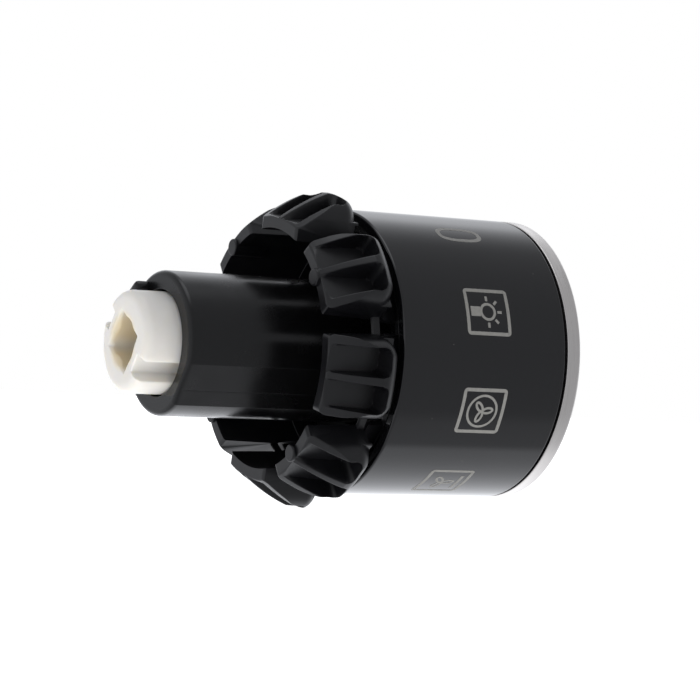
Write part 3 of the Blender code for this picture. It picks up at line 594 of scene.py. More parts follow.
# %% Shape the finger's top
FINGER_HALF = 5.5 * MM
FINGER_REAR = 9.3 * MM
FINGER_END = 18.3 * MM
FINGER_BORE = 16.7 * MM
CREST = 22.2 * MM
SIDE_ROUND = 3.2 * MM
FRONT_ROUND = 2.1 * MM
FRONT_STRETCH = 1.28  # the front falls a little faster than a circle
RAMP_RISE = 0.755
RAMP_BEND = 0.0262 / MM


def ramp(y, aside=0.0):
    """The ramp's height: a full curve from the finger's end up to the crest, round the axis."""
    run = FINGER_REAR - y
    return np.sqrt((FINGER_END + RAMP_RISE * run - RAMP_BEND * run**2) ** 2 - aside**2)


def rounding(y, aside=0.0):
    """The height of the rounded top, which falls to the sides and to the front."""
    sideways = np.maximum(np.abs(aside) - FINGER_HALF + SIDE_ROUND, 0.0)
    forward = FRONT_STRETCH * np.maximum(FRONT_ROUND - y, 0.0)
    over = np.minimum(np.hypot(sideways, forward), SIDE_ROUND)
    return CREST - SIDE_ROUND + np.sqrt(SIDE_ROUND**2 - over**2)


print("front edge in mm:", round(float(rounding(0.0)) / MM, 2))
crossing = [round(float(y) / MM, 2) for y in np.linspace(0.0, FINGER_REAR, 94) if ramp(y) < rounding(y)]
print("the ramp reaches the crest at mm:", crossing[0])

# %% [markdown]
# The rows run from the rear end over the ramp and the crest to the front, then back underneath. They
# lie close together where the flutes end. The rear edge has a small radius.

# %% Lay out the rows
FLUTE_END = 1.5 * MM
FLUTE_CORNER = 1.1 * MM
FLUTE_WALL = 0.2 * MM
RIB_EDGE = 0.15 * MM
REAR_EDGE = 0.4 * MM
RAMP_MIDDLE = 6.0 * MM

ramp_middle = (float(ramp(RAMP_MIDDLE)), RAMP_MIDDLE, 0.0)
end_corner = [(FINGER_BORE, FINGER_REAR, 0.0), (FINGER_END, FINGER_REAR, REAR_EDGE), ramp_middle]
end_rows = rounded(end_corner, 5, False)[1:-1]
outer_y = np.concatenate([
    np.linspace(end_rows[-1][1], FLUTE_END + FLUTE_CORNER, 26)[1:],
    np.linspace(FLUTE_END + FLUTE_CORNER, FLUTE_END + FLUTE_WALL, 9)[1:],
    np.linspace(FLUTE_END + FLUTE_WALL, FLUTE_END - RIB_EDGE, 11)[1:],
    (FLUTE_END - RIB_EDGE) * np.cos(np.linspace(0.0, pi / 2, 10)[1:]),
])
outer_rows = end_rows + [(min(float(ramp(y)), float(rounding(y))), y) for y in outer_y]
# Underneath: the shoulder behind the panel, the root's slope, the foot on the skirt, and the bore.
inner_rows = in_mm([
    (20.1, 0.0), (19.9, 0.5), (17.46, 0.5), (16.68, -0.28),
    (16.68, -3.1), (15.92, -3.1), (15.92, -1.4), (16.7, 1.28),
]) + [(FINGER_BORE, y) for _, y in reversed(end_rows)]
section = np.array(outer_rows + inner_rows)
along = section[:, 1]
outside = np.arange(len(section)) < len(outer_rows)
print("finger rows:", len(section))

# %% [markdown]
# The columns cross the finger from side to side. They follow the flutes, which fan out a little
# towards the crest, the arc where ramp and rounding meet, and the outline, which is rounded at the
# rear corners. Each row spreads the same columns between these stops.

# %% Lay out the columns
RIB_HALF = (0.42 * MM, 0.62 * MM)  # the middle rib at the rear and at the crest
FLUTE_FAR = (4.2 * MM, 4.6 * MM)  # the flute's outer edge there
REAR_CORNER = 0.95 * MM
SIDE_EDGE = 0.16 * MM
ARC_STOP = 5.0 * MM
STOPS = (0.0, RIB_HALF[0], FLUTE_FAR[0], ARC_STOP, FINGER_HALF)

to_crest = np.clip((FINGER_REAR - along) / (FINGER_REAR - FLUTE_END), 0.0, 1.0)
rib_half = RIB_HALF[0] + to_crest * (RIB_HALF[1] - RIB_HALF[0])
flute_far = FLUTE_FAR[0] + to_crest * (FLUTE_FAR[1] - FLUTE_FAR[0])
rear_in = np.maximum(along - FINGER_REAR + REAR_CORNER, 0.0)
half_width = FINGER_HALF - REAR_CORNER + np.sqrt(np.maximum(REAR_CORNER**2 - rear_in**2, 0.0))
fine = np.linspace(0.0, FINGER_HALF, 551)
arc_side = np.array([fine[ramp(y, fine) <= rounding(y, fine)].max(initial=0.0) for y in along])
arc_side = np.clip(arc_side, flute_far + SIDE_EDGE, half_width - SIDE_EDGE)
near, far, bend = STOPS[1:4]
half_columns = np.concatenate([
    np.linspace(0.0, near - RIB_EDGE, 3),
    np.linspace(near - RIB_EDGE, near + FLUTE_WALL, 10)[1:],
    np.linspace(near + FLUTE_WALL, near + FLUTE_CORNER, 7)[1:],
    np.linspace(near + FLUTE_CORNER, far - FLUTE_CORNER, 7)[1:],
    np.linspace(far - FLUTE_CORNER, far - FLUTE_WALL, 7)[1:],
    np.linspace(far - FLUTE_WALL, far + RIB_EDGE, 10)[1:],
    np.linspace(far + RIB_EDGE, bend - SUPPORT, 6)[1:],
    bend + (FINGER_HALF - bend) * np.sin(np.linspace(0.0, pi / 2, 8)),
])
across = np.concatenate([-half_columns[:0:-1], half_columns])
stops = np.stack([0 * along, rib_half, flute_far, arc_side, half_width], -1)
aside = np.stack([np.interp(np.abs(across), STOPS, row) for row in stops]) * np.sign(across)
print("finger columns:", len(across))

# %% [markdown]
# The flutes' depth comes from the distance to the U outline: nothing on the ribs, then a small radius
# on the rib's edge, a steep wall and a floor. Because the distance is even all round the U, so is the
# radius, also in the corners. The floor starts level with the ribs at the rear and stays low while
# the ramp rises over it. At each side the height falls along a quarter circle, which rounds the edge.

# %% Cut the flutes and make the finger
FLOOR_REAR = 18.17 * MM
FLOOR_RISE = 0.45 * MM
SHOULDER_DROP = 0.2 * MM


def quarter_fall(distance, radius):
    """How far an edge of this radius falls at a distance from the wall."""
    over = np.clip(radius - distance, 0.0, radius)
    return radius - np.sqrt(radius**2 - over**2)


y = np.broadcast_to(along[:, None], aside.shape)
top = np.minimum(ramp(y, aside), rounding(y, aside))
flute_middle = (flute_far + rib_half)[:, None] / 2
flute_half = (flute_far - rib_half)[:, None] / 2
sideways = np.abs(np.abs(aside) - flute_middle) - flute_half
sideways, forward = sideways + FLUTE_CORNER, FLUTE_END + FLUTE_CORNER - y
into = FLUTE_CORNER - np.hypot(np.maximum(sideways, 0.0), np.maximum(forward, 0.0))
into -= np.minimum(np.maximum(sideways, forward), 0.0)
full = np.maximum(top - FLOOR_REAR - FLOOR_RISE * to_crest[:, None], 0.0)
wall = np.clip(into / FLUTE_WALL, 0.0, 1.0)
depth = np.minimum(quarter_fall(-into, RIB_EDGE), full) + np.maximum(full - RIB_EDGE, 0.0) * wall
top -= depth + quarter_fall(half_width[:, None] - np.abs(aside), SIDE_EDGE)
round_rows = np.sqrt(section[:, :1] ** 2 - aside**2)
heights = np.minimum(round_rows, np.where(outside[:, None], top, top - SHOULDER_DROP))
finger_points = np.stack([-heights, y, aside], -1)
rows, columns = aside.shape
finger_faces = grid_faces(rows, columns, True, False)
ends = len(end_rows)
for side in (0, columns - 1):
    for k in range(ends - 1):
        corners = (k, k + 1, rows - 2 - k, rows - 1 - k)
        finger_faces.append([corner * columns + side for corner in corners])
    finger_faces.append([k * columns + side for k in range(ends - 1, rows - ends + 1)])
finger_mesh = clean_mesh("finger", finger_points, finger_faces)
print("deepest flute in mm:", round(depth.max() / MM, 2))

# %% [markdown]
# ## The collar
# Eight fingers stand on a skirt that turns in the barrel, and every second finger has a small round
# pad that the mould left on its end. Eight copies on a circle are what Geometry Nodes do well: a
# point for each finger, an instance on each point turned by its number, and a second set of
# instances for the pads on odd numbers. A union then makes fingers, pads and skirt one solid.

# %% Start a tree and run it
def new_tree(name, *sockets):
    """An empty Geometry Nodes tree with a geometry output and named inputs of given kinds."""
    tree = bpy.data.node_groups.new(name, "GeometryNodeTree")
    for socket, kind in (("Geometry", "NodeSocketGeometry"), *sockets):
        tree.interface.new_socket(socket, in_out="INPUT", socket_type=kind)
    tree.interface.new_socket("Geometry", in_out="OUTPUT", socket_type="NodeSocketGeometry")
    return tree, tree.nodes.new("NodeGroupInput").outputs


def grow(name, mesh, tree, **values):
    """Runs a tree on a mesh with its inputs set, and gives back the plain mesh that it makes."""
    holder = link_object(name, mesh)
    step = holder.modifiers.new(name, "NODES")
    step.node_group = tree
    for item in tree.interface.items_tree:
        if item.in_out == "INPUT" and item.name in values:
            step[item.identifier] = values[item.name]
    graph = bpy.context.evaluated_depsgraph_get()
    made = bpy.data.meshes.new_from_object(holder.evaluated_get(graph))
    holder.modifiers.remove(step)
    bpy.data.objects.remove(holder)
    return smooth(made)


print("node trees before the first one:", len(bpy.data.node_groups))

# %% Build the tree that rings the fingers
ring_tree, given = new_tree(
    "finger_ring", ("Fingers", "NodeSocketInt"), ("First", "NodeSocketFloat"), ("Pad", "NodeSocketObject"),
    ("Skirt", "NodeSocketObject"), ("Finish", "NodeSocketMaterial"),
)
spots = add_node(ring_tree, "GeometryNodePoints", {"Count": given["Fingers"]})
index = add_node(ring_tree, "GeometryNodeInputIndex").outputs[0]
step = add_node(ring_tree, "ShaderNodeMath", {0: -tau, 1: given["Fingers"]}, operation="DIVIDE")
turn = {0: index, 1: step.outputs[0], 2: given["First"]}
turn = add_node(ring_tree, "ShaderNodeMath", turn, operation="MULTIPLY_ADD")
turn = {"Axis": (0.0, 1.0, 0.0), "Angle": turn.outputs[0]}
turn = add_node(ring_tree, "FunctionNodeAxisAngleToRotation", turn).outputs[0]
odd = add_node(ring_tree, "ShaderNodeMath", {0: index, 1: 2.0}, operation="MODULO")
pad = add_node(ring_tree, "GeometryNodeObjectInfo", {"Object": given["Pad"]}).outputs["Geometry"]
skirt = add_node(ring_tree, "GeometryNodeObjectInfo", {"Object": given["Skirt"]}).outputs["Geometry"]
fingers = {"Points": spots.outputs[0], "Instance": given["Geometry"], "Rotation": turn}
fingers = add_node(ring_tree, "GeometryNodeInstanceOnPoints", fingers)
pads = {"Points": spots.outputs[0], "Instance": pad, "Rotation": turn, "Selection": odd.outputs[0]}
pads = add_node(ring_tree, "GeometryNodeInstanceOnPoints", pads)
union = add_node(ring_tree, "GeometryNodeMeshBoolean", operation="UNION", solver="MANIFOLD")
for source in (fingers.outputs[0], pads.outputs[0], skirt):
    whole = add_node(ring_tree, "GeometryNodeRealizeInstances", {0: source})
    ring_tree.links.new(whole.outputs[0], union.inputs["Mesh 2"])
whole = add_node(ring_tree, "GeometryNodeRealizeInstances", {0: union.outputs["Mesh"]})
painted = {0: whole.outputs[0], "Material": given["Finish"]}
painted = add_node(ring_tree, "GeometryNodeSetMaterial", painted)
add_node(ring_tree, "NodeGroupOutput", {0: painted.outputs[0]})
print("nodes in the ring tree:", len(ring_tree.nodes))

# %% [markdown]
# Here the tree gets its sizes. The skirt is turned, and so is a thin web that is joined to it. The web
# closes the foot of each slit, so no light comes through under the fingers. The pad is a short pin.

# %% Ring the fingers and seat the collar
FINGERS = 8
FINGER_FIRST = radians(80.0)
SKIRT_BORE, SKIRT_RADIUS, SKIRT_REAR = 15.8, 16.8, -2.6
LIP_RADIUS, LIP_FRONT, LIP_REAR = 18.2, -5.9, -4.6
WEB_BORE, WEB_RADIUS, WEB_FRONT, WEB_REAR = 16.85, 17.3, 0.7, 1.95
WEB_SLOPE = 0.25
PAD_RADIUS, PAD_FRONT, PAD_REAR = 1.2, 4.65, 9.75
PAD_PLACE = 17.1 * MM

skirt_profile = in_mm([
    (SKIRT_BORE, LIP_FRONT, 0.1), (LIP_RADIUS, LIP_FRONT, 0.15), (LIP_RADIUS, LIP_REAR, 0.15),
    (SKIRT_RADIUS, LIP_REAR, 0.0), (SKIRT_RADIUS, SKIRT_REAR, 0.1), (SKIRT_BORE, SKIRT_REAR, 0.1),
])
web_profile = in_mm([
    (WEB_BORE, WEB_FRONT, 0.0), (WEB_RADIUS, WEB_FRONT, 0.0),
    (WEB_RADIUS, WEB_REAR - WEB_SLOPE, 0.2), (WEB_BORE, WEB_REAR, 0.12),
])
pad_profile = in_mm([
    (0.0, PAD_FRONT, 0.0), (PAD_RADIUS, PAD_FRONT, 0.0), (PAD_RADIUS, PAD_REAR, 0.2), (0.0, PAD_REAR, 0.0),
])
pad_mesh = turned("pad", pad_profile, 32)
pad_mesh.transform(Matrix.Translation((-PAD_PLACE, 0.0, 0.0)))
pad_tool = link_object("pad_tool", pad_mesh)
skirt_mesh = turned("skirt", skirt_profile)
rings = bmesh.new()
rings.from_mesh(skirt_mesh)
rings.from_mesh(turned("web", web_profile))
rings.to_mesh(skirt_mesh)
rings.free()
skirt_tool = link_object("skirt_tool", skirt_mesh)
collar_mesh = grow(
    "finger_ring", finger_mesh, ring_tree,
    Fingers=FINGERS, First=FINGER_FIRST, Pad=pad_tool, Skirt=skirt_tool, Finish=satin_black,
)
for tool in (pad_tool, skirt_tool):
    bpy.data.objects.remove(tool)
seat("finger_collar", collar_mesh, satin_black, "collar", "satin_black", "snap_collar")

# %% [markdown]
# ## Black polyamide
# The drive tube and the plates inside are moulded in black polyamide. The tool was polished along
# the draw, so the eye sees a semi-gloss skin with faint lines along the axis and a dull bloom here
# and there, which also weakens the reflection. The lines are a noise stretched along Y; they are drawn
# 0.2 mm wide so that they show.

# %% Make the black polyamide
DRAW_WIDTH = 0.2 * MM
DRAW_STRETCH = 0.02
DRAW_DEPTH = 0.03 * MM
BLOOM_SIZE = 5.0 * MM

polyamide, tree, shader = new_finish("moulded_black_polyamide", IOR=1.53, Specular_IOR_Level=0.36)
place = add_node(tree, "ShaderNodeTexCoord").outputs["Object"]
stretch = add_node(tree, "ShaderNodeMapping", {"Vector": place, "Scale": (1.0, DRAW_STRETCH, 1.0)})
drawn = {"Vector": stretch.outputs[0], "Scale": grain(DRAW_WIDTH), "Detail": 2.0}
drawn = add_node(tree, "ShaderNodeTexNoise", drawn)
vary(tree, shader, drawn.outputs["Fac"], relief=(0.06, DRAW_DEPTH))
bloom = {"Vector": place, "Scale": grain(BLOOM_SIZE), "Detail": 4.0}
bloom = add_node(tree, "ShaderNodeTexNoise", bloom)
vary(tree, shader, bloom.outputs["Fac"], ("#070708", "#0c0c0d"), (0.18, 0.3))
print("material:", polyamide.name)

# %% [markdown]
# ## The drive tube
# The tube slides in and out of the barrel and turns the spindle. One long flat keys it to the guide
# plate, so both turn together. A fine parting line runs along the flat, where the halves of the
# mould met. The section is a radius for each angle: the circle, or the flat where that is nearer.
# Columns are packed close at the flat's edges and at the parting line.

# %% Shape the tube
TUBE_RADIUS = 9.9 * MM
TUBE_BORE = 7.3 * MM
TUBE_FRONT, TUBE_REAR = -11.5, 25.5
CROSS_WALL_FRONT, CROSS_WALL_REAR = 8.0, 9.8
FLAT_ANGLE = radians(-35.7)
FLAT_HALF = radians(20.3)
FLAT_DISTANCE = TUBE_RADIUS * cos(FLAT_HALF)
PARTING_ANGLE = radians(-41.2)
PARTING_DEPTH = 0.05 * MM
PARTING_HALF = radians(0.45)
SKIN_DEPTH = 0.01 * MM  # rows this near to the skin carry the parting line
FLAT_REACH = 1.2  # radians from the flat's middle, past which only the circle counts

dense = np.radians([-1.2, -0.8, -0.5, -0.3, -0.15, 0.0, 0.15, 0.3, 0.5, 0.8, 1.2])
marks = [FLAT_ANGLE - FLAT_HALF, FLAT_ANGLE + FLAT_HALF, PARTING_ANGLE]
even = np.radians(np.arange(-180.0, 180.0, 1.5))
tube_angles = np.concatenate([even, *[mark + dense for mark in marks]])
tube_angles = np.unique(np.round(tube_angles, 7))


def tube_section(inset):
    """The tube's radius at each angle, drawn in by an inset."""
    lean = tube_angles - FLAT_ANGLE
    lean_share = np.cos(np.clip(lean, -FLAT_REACH, FLAT_REACH))
    return np.minimum(TUBE_RADIUS - inset, (FLAT_DISTANCE - inset) / lean_share)


groove = PARTING_DEPTH * np.clip(1 - np.abs(tube_angles - PARTING_ANGLE) / PARTING_HALF, 0.0, 1.0)
tube_wall = (TUBE_RADIUS - TUBE_BORE) / MM
tube_edges = rounded(in_mm([
    (tube_wall, TUBE_FRONT, 0.0), (0.0, TUBE_FRONT, 0.3), (0.0, TUBE_REAR, 0.75),
    (tube_wall, TUBE_REAR, 0.15), (tube_wall, CROSS_WALL_REAR, 0.0),
]), 7, False)
tube_rows = []
for inset, y in tube_edges:
    share = np.clip(inset / (TUBE_RADIUS - TUBE_BORE), 0.0, 1.0)
    outer = tube_section(inset) - groove * (inset < SKIN_DEPTH)
    tube_rows.append(round_axis(outer * (1 - share) + (TUBE_RADIUS - inset) * share, y, tube_angles))
cross_wall = [(0.0, CROSS_WALL_REAR), (0.0, CROSS_WALL_FRONT), (TUBE_BORE, CROSS_WALL_FRONT)]
for radius_here, y in cross_wall:
    tube_rows.append(round_axis(radius_here, y * MM, tube_angles))
tube_rows = np.stack(tube_rows)
tube_mesh = clean_mesh("tube", tube_rows, grid_faces(*tube_rows.shape[:2]))
print("tube columns:", len(tube_angles), "flat at mm:", round(FLAT_DISTANCE / MM, 3))

# %% [markdown]
# Three things are added to the tube: a small tab on its rear end, two keys that hold the insert, and
# the track that the latch pin follows, with a heart-shaped island. They are short prisms, joined and
# cut with Booleans, because they meet the round surface at odd places. The tab and the keys have
# bevelled edges.

# %% Make prisms and join or cut them
def prism(outline, low, high, angle, edge=0.0):
    """A helper object over an outline of (round, along) points in mm, between two heights, at an angle."""
    outward = Vector((-cos(angle), 0.0, sin(angle)))
    along_axis = Vector((0.0, 1.0, 0.0))
    place = Matrix((along_axis.cross(outward), along_axis, outward)).transposed()
    count = len(outline)
    points = [place @ Vector((a, b, height)) * MM for height in (low, high) for a, b in outline]
    faces = [list(range(count)), list(range(count, 2 * count))]
    faces += [[k, (k + 1) % count, count + (k + 1) % count, count + k] for k in range(count)]
    made = link_object("prism", clean_mesh("prism", points, faces))
    if edge:
        bevel = made.modifiers.new("edge", "BEVEL")
        bevel.width = edge * MM
        bevel.segments = 3
    return made


def carve(name, mesh, *steps):
    """Joins helpers to a mesh or cuts them from it, in turn, and gives back the plain mesh."""
    work = link_object(name, mesh)
    for tool, operation in steps:
        cut = work.modifiers.new(operation, "BOOLEAN")
        cut.object = tool
        cut.operation = operation
        cut.solver = "EXACT"
    graph = bpy.context.evaluated_depsgraph_get()
    made = bpy.data.meshes.new_from_object(work.evaluated_get(graph))
    work.modifiers.clear()
    for used in (work, *[tool for tool, _ in steps]):
        bpy.data.objects.remove(used)
    return smooth(made)


def block(half, low, high):
    """The outline of a block between two places along the axis."""
    return [(-half, low), (half, low), (half, high), (-half, high)]


def arc(centre, radius, start, end, steps):
    """Points along an arc from one angle to another."""
    turns = [start + (end - start) * k / steps for k in range(steps + 1)]
    return [(centre[0] + radius * cos(t), centre[1] + radius * sin(t)) for t in turns]


print("points of a half circle in 12 steps:", len(arc((0.0, 0.0), 1.0, 0.0, pi, 12)))

# %% Add the tab, the keys and the latch track
TRAVEL = 15.0
TRACK_FRONT = -9.75
TRACK_SPREAD = 1.523
TRACK_HALF = 0.85
TRACK_HEIGHTS = (8.55, 10.3)
HEART_HEIGHTS = (8.4, 9.727)
HEART_LENGTH = 3.2
TUBE_KEY_ENDS, TUBE_KEY_HEIGHTS, TUBE_KEY_HALF = (8.9, 19.8), (4.85, 8.3), 1.45
TAB_ENDS, TAB_HEIGHTS, TAB_HALF = (23.6, 27.4), (7.73, 9.33), 1.5
TAB_ANGLE = radians(124.0)
TUBE_KEY_BEVEL, TAB_BEVEL = 0.1, 0.6

slant = atan2(TRACK_SPREAD, TRAVEL)
track_rear = TRACK_FRONT + TRAVEL
track = arc((0.0, TRACK_FRONT), TRACK_HALF, slant - pi, -slant, 12)
track += arc((TRACK_SPREAD, track_rear), TRACK_HALF, -slant, pi / 2, 8)
track += arc((-TRACK_SPREAD, track_rear), TRACK_HALF, pi / 2, pi + slant, 8)
heart_half, heart_rear = TRACK_SPREAD - TRACK_HALF, track_rear - TRACK_HALF
heart = [
    (0.0, heart_rear - HEART_LENGTH), (heart_half, heart_rear - heart_half / 2), (heart_half, heart_rear),
    (0.0, heart_rear - heart_half), (-heart_half, heart_rear), (-heart_half, heart_rear - heart_half / 2),
]
additions = [
    (prism(track, *TRACK_HEIGHTS, pi), "DIFFERENCE"),
    (prism(heart, *HEART_HEIGHTS, pi), "UNION"),
]
for keyed in (FLAT_ANGLE, FLAT_ANGLE + pi):
    key = prism(block(TUBE_KEY_HALF, *TUBE_KEY_ENDS), *TUBE_KEY_HEIGHTS, keyed, TUBE_KEY_BEVEL)
    additions.append((key, "UNION"))
tab = prism(block(TAB_HALF, *TAB_ENDS), *TAB_HEIGHTS, TAB_ANGLE, TAB_BEVEL)
additions.append((tab, "UNION"))
tube_mesh = carve("tube", tube_mesh, *additions)
seat("tube_body", tube_mesh, polyamide, "hub", "black_polyamide", "drive_tube")

# %% [markdown]
# ## Natural acetal
# The insert is moulded in uncoloured acetal. It is white with a slightly warm cast, and light sinks a
# millimetre or two into it, so its edges glow. Subsurface scattering gives that. Deep in the socket a
# beige shade is painted, mixed in by the distance from the axis, because scattering alone stays too
# white there. A low, soft bump stands for the sink marks of a thick moulding.

# %% Make the natural acetal
SINK_SIZE = 2.5 * MM
SINK_DEPTH = 0.2 * MM
SCATTER_DEPTH = 1.6 * MM
# The socket's painted shade: a beige that starts at the outer radius and is full at the inner one.
SOCKET_SHADE_FULL = 3.2 * MM  # the radius where the socket's beige is full
SOCKET_SHADE_EDGE = 4.3 * MM

acetal, tree, shader = new_finish(
    "uncoloured_acetal", IOR=1.48, Roughness=0.42,
    Subsurface_Weight=0.6, Subsurface_Radius=(1.0, 0.85, 0.6), Subsurface_Scale=SCATTER_DEPTH,
)
place = add_node(tree, "ShaderNodeTexCoord").outputs["Object"]
sink = {"Vector": place, "Scale": grain(SINK_SIZE), "Detail": 3.0}
sink = add_node(tree, "ShaderNodeTexNoise", sink)
white = {0: sink.outputs["Fac"], 6: linear("#d8d5cf"), 7: linear("#dfdcd7")}
white = add_node(tree, "ShaderNodeMix", white, data_type="RGBA")
axes = add_node(tree, "ShaderNodeSeparateXYZ", {0: place}).outputs
flat_place = add_node(tree, "ShaderNodeCombineXYZ", {0: axes["X"], 1: axes["Z"]})
radius = add_node(tree, "ShaderNodeVectorMath", {0: flat_place.outputs[0]}, operation="LENGTH")
# Painted shade: beige mixed in deep in the socket, by the distance from the axis.
socket_shade = {"Value": radius.outputs["Value"], "From Min": SOCKET_SHADE_EDGE, "From Max": SOCKET_SHADE_FULL}
socket_shade = add_node(tree, "ShaderNodeMapRange", socket_shade)
tint = {0: socket_shade.outputs["Result"], 6: white.outputs[2], 7: linear("#dacdb0")}
tint = add_node(tree, "ShaderNodeMix", tint, data_type="RGBA")
tree.links.new(tint.outputs[2], shader.inputs["Base Color"])
vary(tree, shader, sink.outputs["Fac"], relief=(0.08, SINK_DEPTH))
print("material:", acetal.name)

# %% [markdown]
# ## The spindle insert
# The insert takes the oven's square spindle. Its end is well rounded, its socket opens in a funnel
# that guides the spindle in, and two keyways run along its sides. The funnel's mouth is a circle with
# the corners of a square standing out of it.
# The end is drawn as a ring of lines from the outline to the socket, in millimetres. Each point's
# height depends on its place: the rounded edge, the flat end or the funnel.

# %% Draw the insert's outline and socket
INSERT_RADIUS = 7.0
INSERT_REAR = 30.7
KEY_HALF = 1.6
KEY_FLOOR = 4.7
SOCKET_HALF = 3.0
SOCKET_SHARPNESS = 9
KEY_ROUND = 0.2
ROUND_START = 0.06  # radians past the keyway, which the rounding of its edge needs

key_top = sqrt(INSERT_RADIUS**2 - KEY_HALF**2)
key_turn = asin(KEY_HALF / INSERT_RADIUS)
quarter = [(0.0, KEY_FLOOR, 0.0), (KEY_HALF, KEY_FLOOR, KEY_ROUND), (KEY_HALF, key_top, KEY_ROUND)]
round_part = np.linspace(key_turn + ROUND_START, pi / 2, 56)
quarter += [(INSERT_RADIUS * sin(t), INSERT_RADIUS * cos(t), 0.0) for t in round_part]
quarter = np.array(rounded(quarter, 5, False))
apart = np.append(1.0, np.hypot(*np.diff(quarter, axis=0).T))
quarter = quarter[apart > 1e-6]
length = np.append(0.0, np.cumsum(np.hypot(*np.diff(quarter, axis=0).T)))
# The lines aim at the socket's wall behind the keyway, and then spread over the rest of the quarter.
stops = [0.0, KEY_HALF, KEY_HALF + key_top - KEY_FLOOR, length[-1]]
aim = np.radians(np.interp(length, stops, [0.0, 20.0, 36.0, 90.0]))
flip = quarter[-2::-1] * (1.0, -1.0)
half_loop = np.concatenate([quarter, flip[:-1]])
half_aim = np.concatenate([aim, pi - aim[-2:0:-1]])
loop = np.concatenate([half_loop, -half_loop])
aims = np.concatenate([half_aim, half_aim + pi])


def square_radius(half, turn, sharpness):
    """The radius of a square whose walls face the keyways, with sharper corners at higher powers."""
    sides = np.abs(np.cos(turn)) ** sharpness + np.abs(np.sin(turn)) ** sharpness
    return half / sides ** (1 / sharpness)


socket_radius = square_radius(SOCKET_HALF, aims, SOCKET_SHARPNESS)
socket = np.stack([socket_radius * np.sin(aims), socket_radius * np.cos(aims)], -1)
print("insert columns:", len(loop))

# %% [markdown]
# Rows of points now join the outline to the socket, closer together where the surface bends. The quarter
# circle that rounded the fingers' sides also rounds the end's edge and the rims of keyways and socket.
# Walls follow inside and outside. A Boolean cuts the pocket of the spindle clip into the socket's wall.

# %% Raise the insert's end and walls
INSERT_EDGE = 1.3
MOUTH_RADIUS = 3.55
MOUTH_HALF = 3.22
MOUTH_SHARPNESS = 40
MOUTH_SLOPE = 1.2
MOUTH_BLEND = 0.12
RIM_EDGE = 0.18
INSERT_FRONT = 9.95
SOCKET_FLOOR = 13.7
CLIP_ENDS, CLIP_HEIGHTS, CLIP_HALF = (17.55, 26.85), (1.5, 3.7), 1.95


def end_height(flat):
    """The height of the insert's end over points of its plan: rounded edge, flat end, then the funnel."""
    radius, turn = np.hypot(*flat.T), np.arctan2(*flat.T)
    edge = quarter_fall(INSERT_RADIUS - radius, INSERT_EDGE)
    mouth = np.maximum(MOUTH_RADIUS, square_radius(MOUTH_HALF, turn, MOUTH_SHARPNESS))
    under = mouth - radius
    blend = np.maximum(under + MOUTH_BLEND, 0.0) ** 2 / (4 * MOUTH_BLEND)
    soft = np.where(under > MOUTH_BLEND, under, blend)
    return INSERT_REAR - edge - MOUTH_SLOPE * soft


span = np.hypot(*(socket - loop).T)
from_edge = np.array([0.0, 0.015, 0.05, 0.1, 0.18, 0.3, 0.46, 0.65, 0.86, 1.07, 1.3])
to_mouth = np.array([0.18, 0.1, 0.05, 0.015, 0.0])
shrink = np.minimum(1.0, 0.55 * span / from_edge[-1])
gaps = [step * shrink for step in from_edge]
middle = span - to_mouth[0] - gaps[-1]
gaps += [gaps[-1] + middle * share for share in np.linspace(0.1, 0.9, 9)]
gaps += [span - step for step in to_mouth]
on_keyway = np.hypot(*loop.T) < INSERT_RADIUS - 0.01
insert_rows = []
for gap in gaps:
    flat = loop + (socket - loop) * (gap / span)[:, None]
    key_edge = quarter_fall(gap, RIM_EDGE) * on_keyway
    insert_rows.append((flat, end_height(flat) - key_edge - quarter_fall(span - gap, RIM_EDGE)))
top, foot = insert_rows[0], insert_rows[-1]
outer_wall = [(loop, INSERT_FRONT + (top[1] - INSERT_FRONT) * share) for share in (0.0, 0.5, 0.9, 0.99)]
inner_wall = [(socket, foot[1] + (SOCKET_FLOOR - foot[1]) * share) for share in (0.01, 0.1, 0.5, 1.0)]
insert_rows = outer_wall + insert_rows + inner_wall
turned_plan = []
for flat, height in insert_rows:
    turns = np.arctan2(flat[:, 0], flat[:, 1]) + FLAT_ANGLE
    turned_plan.append(round_axis(np.hypot(*flat.T) * MM, height * MM, turns))
insert_points = np.stack(turned_plan)
rows, columns = insert_points.shape[:2]
insert_faces = grid_faces(rows, columns, False, True)
insert_faces += [list(range(columns)), [(rows - 1) * columns + k for k in range(columns)]]
insert_mesh = clean_mesh("insert", insert_points, insert_faces)
pocket = prism(block(CLIP_HALF, *CLIP_ENDS), *CLIP_HEIGHTS, FLAT_ANGLE - pi / 2)
insert_mesh = carve("insert", insert_mesh, (pocket, "DIFFERENCE"))
seat("insert_body", insert_mesh, acetal, "hub", "natural_acetal", "spindle_insert")

# %% [markdown]
# ## Plates inside the barrel
# Seen from behind, two plates show in the barrel's mouth: the guide plate, whose D-shaped hole
# carries the tube, and the ring that keeps the collar in. The guide plate uses the tube's own
# section for its hole, a running gap larger, so the two always match.

# %% Make the guide plate and the retaining ring
RUNNING = 0.3 * MM
PLATE_RADIUS, PLATE_FRONT, PLATE_REAR = 18.35, -8.6, -6.2
SLEEVE_RADIUS, SLEEVE_REAR, SLEEVE_EDGE = 11.8, -5.4, 0.15
KEEPER_BORE, KEEPER_FRONT, KEEPER_REAR = 17.1, -4.3, -2.8

